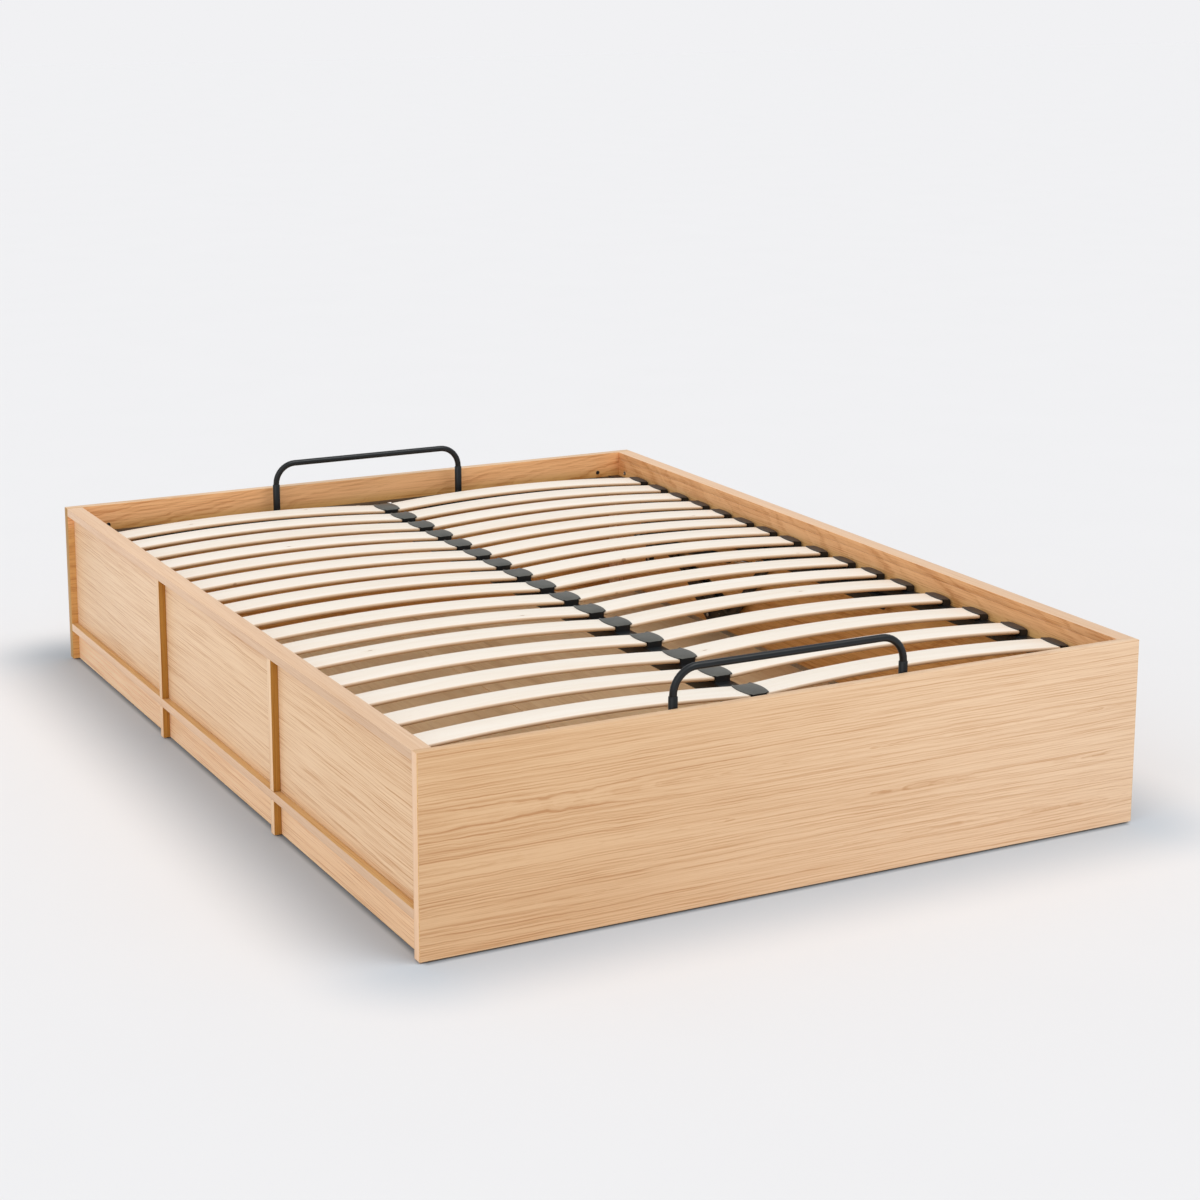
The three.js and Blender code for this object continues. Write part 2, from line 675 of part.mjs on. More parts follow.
// An angle bracket under each side tube carries the base's two pins.
function addBaseBrackets() {
  const foot = innerY - BRACKET_FOOT_REACH;
  const head = innerY - BRACKET_HEAD_REACH;
  const webBottom = tubeBottom - BRACKET_THICKNESS - BRACKET_WEB_DEPTH;
  const [leverY, leverZ] = baseLeverPin;
  const [linkY, linkZ] = baseLinkPin;
  const web = [
    [foot, tubeBottom],
    [foot, tubeBottom - BRACKET_EDGE],
    [foot + BRACKET_WEB_DEPTH, webBottom],
    [leverY - BRACKET_SHOULDER, webBottom],
    [leverY - 23, leverZ - 6],
    [leverY, leverZ - LEVER_HALF_WIDTH],
    [leverY + 25, leverZ - LEVER_HALF_WIDTH + 2],
    [linkY + 17, linkZ - LINK_HALF_WIDTH],
    [linkY + 21, linkZ + 15],
    [head, webBottom],
    [head, tubeBottom],
  ];
  for (const [side, sign] of sides) {
    const span = (low, high) => onSide(sign, low, high);
    const openHeadIn = linkOut + SIDE_PLAY;
    const pieces = [
      alongX(polygon(web), span(webIn, webOut)),
      block(span(webOut - BRACKET_FLANGE, webOut), [foot, head], [tubeBottom - BRACKET_THICKNESS, tubeBottom]),
      barX(baseLeverPin, PIN_RADIUS, span(webOut - 1, thinHeadOut - THIN_HEAD / 2)),
      barX(baseLeverPin, RIVET_HEAD_RADIUS, span(thinHeadIn, thinHeadOut)),
      barX(baseLinkPin, OPEN_PIN_SPACER_RADIUS, span(webOut - 1, thinHeadOut)),
      barX(baseLinkPin, OPEN_PIN_RADIUS, span(thinHeadOut - 1, openHeadIn + 1)),
      barX(baseLinkPin, OPEN_PIN_HEAD_RADIUS, span(openHeadIn, openHeadIn + THICK_HEAD)),
    ];
    add(`base_bracket_${side}`, join(...pieces), blackSteel());
  }
}

// Gas springs are drawn along +Y from their anchor, then turned to point at the lever's stud.
function addGasSprings() {
  const [anchorY, anchorZ] = springAnchor;
  const reachY = springStud[0] - anchorY;
  const reachZ = springStud[1] - anchorZ;
  const length = Math.hypot(reachY, reachZ);
  const turned = (profile) =>
    new THREE.LatheGeometry(
      profile.map(([radius, y]) => new THREE.Vector2(radius, y)),
      ROUND_SIDES,
    );
  const guide = ROD_RADIUS + ROD_GUIDE_CLEARANCE;
  const bodyProfile = [
    [0, SPRING_EYE_RADIUS - 2],
    [CYLINDER_NECK_RADIUS, SPRING_EYE_RADIUS - 2],
    [CYLINDER_NECK_RADIUS, CYLINDER_START],
    [CYLINDER_RADIUS, CYLINDER_START],
    [CYLINDER_RADIUS, CYLINDER_REACH],
    [guide, CYLINDER_REACH],
    [guide, CYLINDER_REACH - ROD_GUIDE_LENGTH],
    [CYLINDER_BORE_RADIUS, CYLINDER_REACH - ROD_GUIDE_LENGTH],
    [CYLINDER_BORE_RADIUS, CYLINDER_START + CYLINDER_END_WALL],
    [0, CYLINDER_START + CYLINDER_END_WALL],
  ];
  const rodEyeRadius = SPRING_EYE_RADIUS + 1;
  const pistonAt = length - PISTON_BACK;
  const rodProfile = [
    [0, pistonAt],
    [PISTON_RADIUS, pistonAt],
    [PISTON_RADIUS, pistonAt + PISTON_LENGTH],
    [ROD_RADIUS, pistonAt + PISTON_LENGTH],
    [ROD_RADIUS, length - rodEyeRadius + 3],
    [0, length - rodEyeRadius + 3],
  ];
  for (const [side, sign] of sides) {
    const place = new THREE.Group();
    place.position.set(0, anchorY, anchorZ);
    place.rotation.x = Math.atan2(reachZ, reachY);
    bed.add(place);
    const eye = onSide(sign, eyeIn, eyeOut);
    const through = [eye[0] - 1, eye[1] + 1];
    const body = join(
      turned(bodyProfile).translate(sign * springX, 0, 0),
      barX([0, 0], SPRING_EYE_RADIUS, eye),
    );
    const bodyHole = barX([0, 0], PIN_RADIUS + PIN_CLEARANCE, through);
    add(`gas_cylinder_${side}`, cut(body, bodyHole), blackSteel(), place);
    const rod = join(
      turned(rodProfile).translate(sign * springX, 0, 0),
      barX([length, 0], rodEyeRadius, eye),
    );
    const rodHole = barX([length, 0], PIN_RADIUS + OPEN_PIVOT_CLEARANCE, through);
    add(`gas_rod_${side}`, cut(rod, rodHole), chrome(), place);
  }
}

addEndBoards();
addSides();
addCornerLegs();
addStorageFloor();
addBaseFrame();
addSlatRows();
addArches();
addHingePlates();
addSpringAnchors();
addLevers();
addRearLinks();
addBaseBrackets();
addGasSprings();

export default bed;
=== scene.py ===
"""Ottoman bed in a pale studio: an oak-veneered storage box under a slatted base that lifts."""

import logging
import math
import random
from collections.abc import Sequence
from dataclasses import dataclass
from enum import Enum

import bmesh
import bpy
from mathutils import Matrix, Vector


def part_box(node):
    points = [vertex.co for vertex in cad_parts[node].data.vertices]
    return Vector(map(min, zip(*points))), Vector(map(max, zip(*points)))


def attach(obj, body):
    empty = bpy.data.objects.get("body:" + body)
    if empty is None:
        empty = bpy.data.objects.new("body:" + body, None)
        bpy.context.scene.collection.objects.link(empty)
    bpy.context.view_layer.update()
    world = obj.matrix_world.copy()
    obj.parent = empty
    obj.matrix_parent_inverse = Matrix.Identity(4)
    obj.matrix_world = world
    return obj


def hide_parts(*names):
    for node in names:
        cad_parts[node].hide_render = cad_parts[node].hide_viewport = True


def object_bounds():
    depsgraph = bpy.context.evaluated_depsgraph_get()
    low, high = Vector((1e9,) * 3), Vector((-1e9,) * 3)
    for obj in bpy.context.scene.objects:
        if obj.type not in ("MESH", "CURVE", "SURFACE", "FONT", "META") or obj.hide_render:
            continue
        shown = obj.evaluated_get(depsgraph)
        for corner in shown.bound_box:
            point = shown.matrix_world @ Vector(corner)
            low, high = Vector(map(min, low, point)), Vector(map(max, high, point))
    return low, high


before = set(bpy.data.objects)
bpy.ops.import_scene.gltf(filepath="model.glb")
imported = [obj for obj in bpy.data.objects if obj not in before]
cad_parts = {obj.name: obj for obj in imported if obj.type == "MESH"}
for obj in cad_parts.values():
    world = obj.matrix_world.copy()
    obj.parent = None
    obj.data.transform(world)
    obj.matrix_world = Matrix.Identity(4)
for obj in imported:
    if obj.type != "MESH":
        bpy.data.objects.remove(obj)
CAD_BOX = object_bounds()

log = logging.getLogger("ottoman_bed")

Colour = tuple[float, float, float]
Flat = tuple[float, float]
Interval = tuple[float, float]
Profile = tuple[Flat, ...]
Settings = dict[str, object]
Sockets = dict[int | str, object]

UP = Vector((0, 0, 1))


class Axis(Enum):
    """An axis of the bed: across it, towards the head end, and up."""

    X = 0
    Y = 1
    Z = 2


class Body(Enum):
    """The rigid bodies that the pieces ride on."""

    BOX = "box"
    BASE = "slatted_base"
    LEVERS = "lift_levers"
    LINKS = "rear_links"
    CYLINDERS = "gas_cylinders"
    RODS = "gas_rods"


class Slot(Enum):
    """The record's material slots."""

    OAK = "oak"
    FLOOR_BOARD = "floor_board"
    BLACK_STEEL = "black_steel"
    ZINC_STEEL = "zinc_steel"
    CHROME = "chrome"
    BIRCH = "birch"
    GREY_PLASTIC = "grey_plastic"


class Blend(Enum):
    """How a second colour goes over a first one: in its place, or as a stain."""

    OVER = "MIX"
    STAIN = "MULTIPLY"


class Place(Enum):
    """A place on the bed whose name is part of its pieces' names."""

    @property
    def label(self) -> str:
        """The place's name in lower case."""
        return self.name.lower()


class Side(Place):
    """The two sides of the bed, seen from the foot end."""

    LEFT = -1
    RIGHT = 1


class End(Place):
    """The two ends of the bed."""

    FOOT = -1
    HEAD = 1


def srgb(red: int, green: int, blue: int) -> Colour:
    """The linear colour of red, green and blue of 0 to 255, as seen on a screen."""
    shares = [value / 255 for value in (red, green, blue)]
    return tuple(s / 12.92 if s <= 0.04045 else ((s + 0.055) / 1.055) ** 2.4 for s in shares)


# Shader expressions


class Signal:
    """A shader socket that takes part in Python expressions on numbers."""

    def __init__(self, nodes: "NodeTree", socket: bpy.types.NodeSocket) -> None:
        """Wraps a socket of those nodes."""
        self.nodes = nodes
        self.socket = socket

    def math(self, operation: str, *others: "Signal | float") -> "Signal":
        """The result of a Math node with that operation on this signal and the others."""
        return self.nodes.signal("ShaderNodeMath", {"operation": operation}, dict(enumerate((self, *others))))

    def __add__(self, other: "Signal | float") -> "Signal":
        """Adds."""
        return self.math("ADD", other)

    __radd__ = __add__

    def __sub__(self, other: "Signal | float") -> "Signal":
        """Subtracts."""
        return self.math("SUBTRACT", other)

    def __rsub__(self, other: float) -> "Signal":
        """Subtracts from a number."""
        return self.nodes.signal("ShaderNodeMath", {"operation": "SUBTRACT"}, {0: other, 1: self})

    def __mul__(self, other: "Signal | float") -> "Signal":
        """Multiplies."""
        return self.math("MULTIPLY", other)

    __rmul__ = __mul__

    def __truediv__(self, other: "Signal | float") -> "Signal":
        """Divides."""
        return self.math("DIVIDE", other)

    def __pow__(self, other: "Signal | float") -> "Signal":
        """Raises to a power."""
        return self.math("POWER", other)

    def __abs__(self) -> "Signal":
        """The absolute value."""
        return self.math("ABSOLUTE")

    def step(self, low: float, high: float) -> "Signal":
        """A smooth rise from 0 at low to 1 at high, or a fall where low is the larger.

        Args:
            low: Where the result is 0.
            high: Where the result is 1.

        Returns:
            The result, held between 0 and 1.
        """
        settings = {"interpolation_type": "SMOOTHSTEP"}
        if low < high:
            return self.nodes.signal("ShaderNodeMapRange", settings, {0: self, 1: low, 2: high})
        return 1 - self.step(high, low)


class NodeTree:
    """Builds the nodes of one material or world."""

    def __init__(self, owner: bpy.types.Material | bpy.types.World) -> None:
        """Starts with an empty tree.

        Args:
            owner: The material or world that the nodes belong to.
        """
        owner.use_nodes = True
        self.tree = owner.node_tree
        self.tree.nodes.clear()

    def node(self, kind: str, settings: Settings | None = None, inputs: Sockets | None = None) -> bpy.types.Node:
        """Adds a node.

        Args:
            kind: The node's type.
            settings: Its properties, set first.
            inputs: Values or signals for its sockets, by name or number.

        Returns:
            The node.
        """
        node = self.tree.nodes.new(kind)
        for key, value in (settings or {}).items():
            setattr(node, key, value)
        for key, value in (inputs or {}).items():
            if isinstance(value, Signal):
                self.tree.links.new(value.socket, node.inputs[key])
            else:
                node.inputs[key].default_value = value
        return node

    def signal(
        self,
        kind: str,
        settings: Settings | None = None,
        inputs: Sockets | None = None,
        output: int | str = 0,
    ) -> Signal:
        """Adds a node and returns one of its outputs, by name or number."""
        return Signal(self, self.node(kind, settings, inputs).outputs[output])


class Paint(NodeTree):
    """Builds the nodes of one material."""

    def __init__(self, name: str) -> None:
        """Starts an empty material of that name."""
        self.material = bpy.data.materials.new(name)
        super().__init__(self.material)

    @staticmethod
    def _opaque(colour: Signal | Colour) -> Signal | tuple[float, ...]:
        """A colour as a socket takes it."""
        return colour if isinstance(colour, Signal) else (*colour, 1.0)

    def _coordinates(self, output: str) -> tuple[Signal, ...]:
        """X, Y and Z of one of the surface's coordinates."""
        whole = self.signal("ShaderNodeTexCoord", output=output)
        return tuple(Signal(self, part) for part in self.node("ShaderNodeSeparateXYZ", None, {0: whole}).outputs)

    def place(self) -> tuple[Signal, ...]:
        """The surface point's X, Y and Z in metres, in the frame of the bed at rest."""
        return self._coordinates("Object")

    def facing(self) -> tuple[Signal, ...]:
        """The surface's normal as X, Y and Z, in the frame of the bed at rest."""
        return self._coordinates("Normal")

    def point(self, x: Signal | float, y: Signal | float, z: Signal | float) -> Signal:
        """Joins three numbers into a vector."""
        return self.signal("ShaderNodeCombineXYZ", None, {0: x, 1: y, 2: z})

    def noise(self, at: Signal | Sequence[Signal | float], detail: float = 2.0, roughness: float = 0.5) -> Signal:
        """Fractal noise of about 0 to 1, with one blob to each unit of at.

        Args:
            at: The scaled place, as a vector or as three numbers.
            detail: How many finer layers are added.
            roughness: How strong the finer layers are.

        Returns:
            The noise, about 0.5 on average.
        """
        vector = at if isinstance(at, Signal) else self.point(*at)
        return self.signal(
            "ShaderNodeTexNoise",
            {"noise_dimensions": "3D"},
            {"Vector": vector, "Scale": 1.0, "Detail": detail, "Roughness": roughness},
        )

    def grit(self, scale: float, detail: float = 2.0, roughness: float = 0.5) -> Signal:
        """Noise that is as fine in every direction.

        Args:
            scale: How many blobs it has to the metre.
            detail: How many finer layers are added.
            roughness: How strong the finer layers are.

        Returns:
            The noise, about 0.5 on average.
        """
        whole = self.signal("ShaderNodeTexCoord", output="Object")
        at = self.signal("ShaderNodeVectorMath", {"operation": "SCALE"}, {0: whole, "Scale": scale})
        return self.noise(at, detail, roughness)

    def blend(
        self,
        share: Signal | float,
        first: Signal | Colour,
        second: Signal | Colour,
        mode: Blend = Blend.OVER,
    ) -> Signal:
        """Mixes two colours.

        Args:
            share: 0 for the first colour, 1 for the second.
            first: The first colour.
            second: The second colour.
            mode: How the second colour goes over the first.

        Returns:
            The mixed colour.
        """
        inputs = {0: share, 6: self._opaque(first), 7: self._opaque(second)}
        return self.signal("ShaderNodeMix", {"data_type": "RGBA", "blend_type": mode.value}, inputs, output=2)

    def surface(
        self,
        colour: Signal,
        roughness: Signal | float,
        height: Signal | None = None,
        depth: float = 0.0001,
        **fixed: float,
    ) -> bpy.types.Material:
        """Finishes the material with a principled surface.

        Args:
            colour: The base colour.
            roughness: The roughness.
            height: Relief of about 0 to 1, if any.
            depth: How far that relief rises, in metres.
            **fixed: Other sockets by name, with underscores for spaces.

        Returns:
            The material.
        """
        inputs = {"Base Color": colour, "Roughness": roughness}
        inputs |= {name.replace("_", " "): value for name, value in fixed.items()}
        if height is not None:
            inputs["Normal"] = self.signal("ShaderNodeBump", None, {"Height": height, "Distance": depth})
        shader = self.signal("ShaderNodeBsdfPrincipled", None, inputs)
        self.node("ShaderNodeOutputMaterial", None, {"Surface": shader})
        return self.material


# Finishes


class Tint(Enum):
    """How a board's oak differs from plain light oak, as a factor for each of its colours; some stand for painted
    light and shade.
    """

    PLAIN = (1.0, 1.0, 1.0)
    FRESH = (1.03, 1.05, 1.1)
    # A lighter copy of the oak: painted light on the outer faces of the sides and the battens.
    PAINTED_SIDE_LIGHT = (1.16, 1.19, 1.22)
    ROSY = (1.12, 1.09, 1.12)
    # A darker, oranger copy of the oak: painted shade on the inner faces of the box.
    PAINTED_INSIDE_SHADE = (1.06, 0.83, 0.6)
    # A dark copy of the oak: painted shade on the battens' sides in the recesses.
    SHADED = (0.55, 0.38, 0.12)
    BANDED = (0.64, 0.52, 0.24)
    GOLDEN = (0.93, 0.84, 0.58)


@dataclass(frozen=True)
class Heart:
    """The middle of a tree's growth rings: where it lies across the grain, and its drift along it.

    The drift goes on only between the two places along the grain that drifts gives.
    """

    at: Flat
    drift: Flat = (0.0, 0.0)
    drifts: Interval = (-2.0, 2.0)


@dataclass(frozen=True)
class OakVeneer:
    """Light oak veneer under a satin lacquer, cut so that its growth rings run out in long arches.

    The rings lie round one or more hearts that drift slowly through the board along the grain. A slow
    warp makes them wavy, every ring has its own strength, and each third ring near a heart is bolder. Painted
    shade darkens the board towards one end, and below a level, such as that of the base, painted light
    brightens some boards and painted shade darkens others.
    """

    label: str
    grain: Axis
    hearts: tuple[Heart, ...]
    seed: float = 0.0
    strength: float = 1.0
    gloss: float = 0.4
    tint: Tint = Tint.PLAIN
    # Painted shade: towards the low end of this span along the grain, the board's colours are multiplied by this
    # factor.
    painted_end_shade: Colour = (1.0, 1.0, 1.0)
    painted_end_shade_span: Interval = (-1.0, 1.0)
    # Painted light and shade below a level: the colours below it are multiplied by this factor, above 1 for painted
    # light and below 1 for painted shade.
    painted_shading_below: Colour = (1.0, 1.0, 1.0)
    painted_shading_level: Interval = (0.335, 0.305)
    ring: float = 0.0041
    ring_spread: float = 2.0
    merge: float = 0.03
    warp: float = 0.020
    ripple: float = 0.008
    late_weight: float = 0.42
    bold_weight: float = 0.36
    fibre_weight: float = 2.7
    streak_weight: float = 2.4
    cloud_weight: float = 0.5
    pore_weight: float = 0.28
    pale: Colour = srgb(240, 205, 167)
    mid: Colour = srgb(226, 186, 145)
    dark: Colour = srgb(202, 152, 106)

    def material(self) -> bpy.types.Material:
        """Builds the node material.

        Returns:
            The material.
        """
        paint = Paint(self.label)
        place = paint.place()
        along = place[self.grain.value]
        across, through = (place[axis.value] for axis in Axis if axis is not self.grain)
        seed = self.seed
        radius = self._radius(paint, along, across, through)

        spread = paint.noise((radius * 30.0, along * 0.3, seed), 1.0)
        phase = radius / self.ring + spread * self.ring_spread
        turn = phase.math("FRACT")
        vigour = paint.noise((phase.math("FLOOR") * 0.73, along * 1.1, seed), 1.0).step(0.35, 0.7)
        late = turn.step(0.4, 0.85) * turn.step(1.0, 0.9) * (0.4 + vigour * 0.5)
        late = late * (0.4 + radius.step(0.008, 0.05) * 0.6)
        third = (phase / 3.0).math("FRACT")
        bold = third.step(0.8, 0.9) * third.step(1.0, 0.94) * radius.step(0.085, 0.03)

        fibre = paint.noise((along * 5.0, across * 460.0, through * 460.0), 2.0, 0.65) - 0.5
        streak = paint.noise((radius * 360.0, along * 0.8, seed), 3.0, 0.66) - 0.5
        cloud = paint.noise((along * 1.4, across * 9.0 + seed, through * 9.0), 3.0) - 0.5
        pore_bed = paint.noise((along * 45.0 + seed, across * 1100.0, through * 1100.0), 1.0)
        pores = pore_bed.step(0.62, 0.74) * (0.3 + 0.7 * turn.step(0.45, 0.1))

        grain = late * self.late_weight + bold * self.bold_weight + fibre * self.fibre_weight
        grain = grain + streak * self.streak_weight + cloud * self.cloud_weight
        share = grain * self.strength + 0.24
        base = paint.blend(share.step(-0.25, 0.85), self._tinted(self.pale), self._tinted(self.mid))
        base = paint.blend(share.step(0.35, 1.35), base, self._tinted(self.dark))
        base = paint.blend(pores * self.pore_weight * self.strength, base, self._tinted(self.dark))
        # Painted shade towards one end of the board.
        base = paint.blend(along.step(self.painted_end_shade_span[1], self.painted_end_shade_span[0]), base, self.painted_end_shade, Blend.STAIN)
        # Painted light and shade below the level.
        base = paint.blend(place[Axis.Z.value].step(*self.painted_shading_level), base, self.painted_shading_below, Blend.STAIN)
        rough = 0.42 + fibre * 0.12 + pores * 0.15
        relief = 0.6 - pores * 0.6 + fibre * 0.25 - late * 0.12
        return paint.surface(base, rough, relief, Specular_IOR_Level=self.gloss)

    def _radius(self, paint: Paint, along: Signal, across: Signal, through: Signal) -> Signal:
        """The wavy distance to the nearest heart, with the rings of two hearts flowing round both.

        Args:
            paint: The material's nodes.
            along: The place along the grain.
            across: The place on the first axis across it.
            through: The place on the second axis across it.

        Returns:
            The distance in metres.
        """
        nearest = None
        for heart in self.hearts:
            held = along.math("MAXIMUM", heart.drifts[0]).math("MINIMUM", heart.drifts[1])
            off = across - heart.at[0] - held * heart.drift[0]
            behind = through - heart.at[1] - held * heart.drift[1]
            radius = (off * off + behind * behind) ** 0.5
            nearest = radius if nearest is None else nearest.math("SMOOTH_MIN", radius, self.merge)
        sway = paint.noise((along * 1.3 + self.seed, across * 5.0, through * 5.0), 1.5, 0.4)
        ripple = paint.noise((along * 11.0, across * 22.0 + self.seed, through * 22.0), 3.0, 0.6)
        return nearest + (sway - 0.5) * self.warp + ripple * self.ripple

    def _tinted(self, colour: Colour) -> Colour:
        """A colour of the wood times the board's tint."""
        return tuple(c * t for c, t in zip(colour, self.tint.value))


@dataclass(frozen=True)
class SlatCurve:
    """The bow of a slat's underside between two distances from the bed's middle."""

    start: float = 0.008
    end: float = 0.695
    seat: float = 0.311
    bow: float = 0.015

    def height(self, x: Signal | float) -> Signal | float:
        """The underside's height above the ground at a distance from the bed's middle."""
        share = (x - self.start) * (2 / (self.end - self.start)) - 1
        return (1 - share * share) * self.bow + self.seat


@dataclass(frozen=True)
class BirchSlat:
    """Pale bent birch plies: cream faces with faint fibres, thin dark lines between the glued plies on the long
    edges, painted shade on those rounded edges and on the undersides, and a few knots.
    """

    label: str = "birch_slat"
    curve: SlatCurve = SlatCurve()
    ply: float = 0.0016
    face: Colour = srgb(250, 241, 229)
    shade: Colour = srgb(238, 222, 202)
    # The colour of the glue lines, and of the painted shade on the rounded long edges.
    glue_and_edge_shade: Colour = srgb(208, 170, 128)
    # Painted shade on the faces that look down.
    under: Colour = srgb(214, 172, 124)
    knot: Colour = srgb(160, 118, 84)

    def material(self) -> bpy.types.Material:
        """Builds the node material.

        Returns:
            The material.
        """
        paint = Paint(self.label)
        x, y, z = paint.place()
        _, normal_y, normal_z = paint.facing()

        sway = paint.noise((x * 3.0, y * 14.0, 0.0), 1.0)
        fibre = paint.noise((x * 14.0, y * 900.0 + sway * 16.0, z * 500.0), 3.0, 0.6) - 0.5
        figure = paint.noise((x * 2.2, y * 60.0 + sway * 4.0, 3.0)) - 0.5
        tone = paint.noise((y * 8.7 + 4.0, x.math("SIGN") * 3.0, 0.0), 0.0) - 0.5
        flecks = paint.noise((x * 60.0, y * 700.0, 7.0), 1.0).step(0.68, 0.78)
        knots = paint.signal(
            "ShaderNodeTexVoronoi",
            {"voronoi_dimensions": "2D", "feature": "F1"},
            {"Vector": paint.point(x * 1.9 + 0.4, y * 6.0, 0.0), "Scale": 1.0},
        )
        eye = knots.step(0.013, 0.006)
        halo = knots.step(0.05, 0.01)

        # Painted shade: the rounded long edges, which face along the bed, are mixed towards a darker tan.
        edge = abs(normal_y).step(0.15, 0.85)
        layer = ((z - self.curve.height(abs(x))) / self.ply).math("FRACT")
        line = (layer.step(0.12, 0.0) + layer.step(0.88, 1.0)) * edge

        wood = figure * 0.9 + fibre * 0.6 + tone * 0.7 + halo * 0.35 + 0.3
        base = paint.blend(wood.step(-0.2, 1.2), self.face, self.shade)
        base = paint.blend(flecks * 0.22, base, self.glue_and_edge_shade)
        # Real ply lines, and painted shade on the long edges.
        base = paint.blend(line * 0.3 + edge * 0.65, base, self.glue_and_edge_shade)
        # Painted shade on the faces that look down.
        base = paint.blend(normal_z.step(0.4, -0.3) * 0.8, base, self.under)
        base = paint.blend(eye * 0.75, base, self.knot)
        relief = 0.5 + fibre * 0.5 - line * 0.4 - eye * 0.3
        return paint.surface(base, 0.46 + fibre * 0.15, relief, 0.00008, Specular_IOR_Level=0.4)


@dataclass(frozen=True)
class FloorVeneer:
    """The storage floor's mid-brown veneer, with streaky grain along the bed that differs from board to board."""

    label: str = "floor_veneer"
    pale: Colour = srgb(252, 226, 184)
    mid: Colour = srgb(237, 204, 158)
    dark: Colour = srgb(190, 152, 106)

    def material(self) -> bpy.types.Material:
        """Builds the node material.

        Returns:
            The material.
        """
        paint = Paint(self.label)
        x, y, z = paint.place()
        board = x.math("SIGN") * 3.7
        sway = paint.noise((x * 7.0, y * 1.2, z + board), 1.0)
        grain = paint.noise((x * 300.0 + sway * 12.0, y * 5.0, z + board), 4.0, 0.62) - 0.5
        streak = paint.noise((x * 60.0 + sway * 9.0, y * 1.4, board), 3.0, 0.6) - 0.5
        wave = paint.noise((x * 11.0 + sway * 3.0, y * 0.6, board + 5.0)) - 0.5
        pores = paint.noise((x * 900.0, y * 28.0, 8.0), 1.0).step(0.62, 0.75)
        tone = grain * 0.8 + streak * 1.2 + wave * 0.8 + 0.42
        base = paint.blend(tone.step(-0.15, 0.95), self.pale, self.mid)
        base = paint.blend(tone.step(0.45, 1.3) + pores * 0.3, base, self.dark)
        return paint.surface(base, 0.5 + grain * 0.2, grain - pores * 0.6, Specular_IOR_Level=0.35)


@dataclass(frozen=True)
class PowderCoat:
    """Satin black powder coat on steel, with its fine orange peel, faint paler mottling and specks of dust."""

    label: str = "powder_coat"
    colour: Colour = srgb(14, 17, 19)
    worn: Colour = srgb(36, 41, 45)
    rough: float = 0.34

    def material(self) -> bpy.types.Material:
        """Builds the node material.

        Returns:
            The material.
        """
        paint = Paint(self.label)
        peel = paint.grit(900.0, 1.0)
        cloud = paint.grit(14.0, 3.0, 0.6) - 0.5
        specks = paint.grit(2600.0, 0.0).step(0.7, 0.8)
        base = paint.blend(cloud * 0.6 + 0.25 + specks * 0.25, self.colour, self.worn)
        rough = self.rough + cloud * 0.16 + (peel - 0.5) * 0.1
        return paint.surface(base, rough, peel, 0.00006, Specular_IOR_Level=0.35)


@dataclass(frozen=True)
class BareMetal:
    """Plated or polished steel, with fine scratches round or along it."""

    label: str
    colour: Colour
    stain: Colour
    rough: float

    def material(self) -> bpy.types.Material:
        """Builds the node material.

        Returns:
            The material.
        """
        paint = Paint(self.label)
        x, y, z = paint.place()
        cloud = paint.grit(40.0, 3.0, 0.6)
        lines = paint.noise((x * 1500.0, y * 60.0, z * 1500.0))
        base = paint.blend(cloud.step(0.45, 0.8) * 0.5, self.colour, self.stain)
        rough = self.rough + (lines - 0.5) * 0.12 + (cloud - 0.5) * 0.1
        return paint.surface(base, rough, lines, 0.00002, Metallic=1.0)


@dataclass(frozen=True)
class MouldedPlastic:
    """Dark moulded plastic with a spark-eroded texture and painted light that makes the upward tops paler in
    patches.
    """

    label: str
    colour: Colour
    # Painted light on the faces that look up.
    painted_top_light: Colour
    rough: float = 0.44

    def material(self) -> bpy.types.Material:
        """Builds the node material.

        Returns:
            The material.
        """
        paint = Paint(self.label)
        _, _, up = paint.facing()
        grit = paint.grit(1800.0, 1.0)
        cloud = paint.grit(30.0, 3.0, 0.55) - 0.5
        # Painted light: faces that look up are mixed towards the paler grey, in patches.
        top_light_share = up.step(0.3, 1.0) * (0.65 + cloud * 0.8)
        base = paint.blend(top_light_share + (grit - 0.5) * 0.2, self.colour, self.painted_top_light)
        rough = self.rough + (grit - 0.5) * 0.14 + cloud * 0.12
        return paint.surface(base, rough, grit, 0.00008, Specular_IOR_Level=0.5)


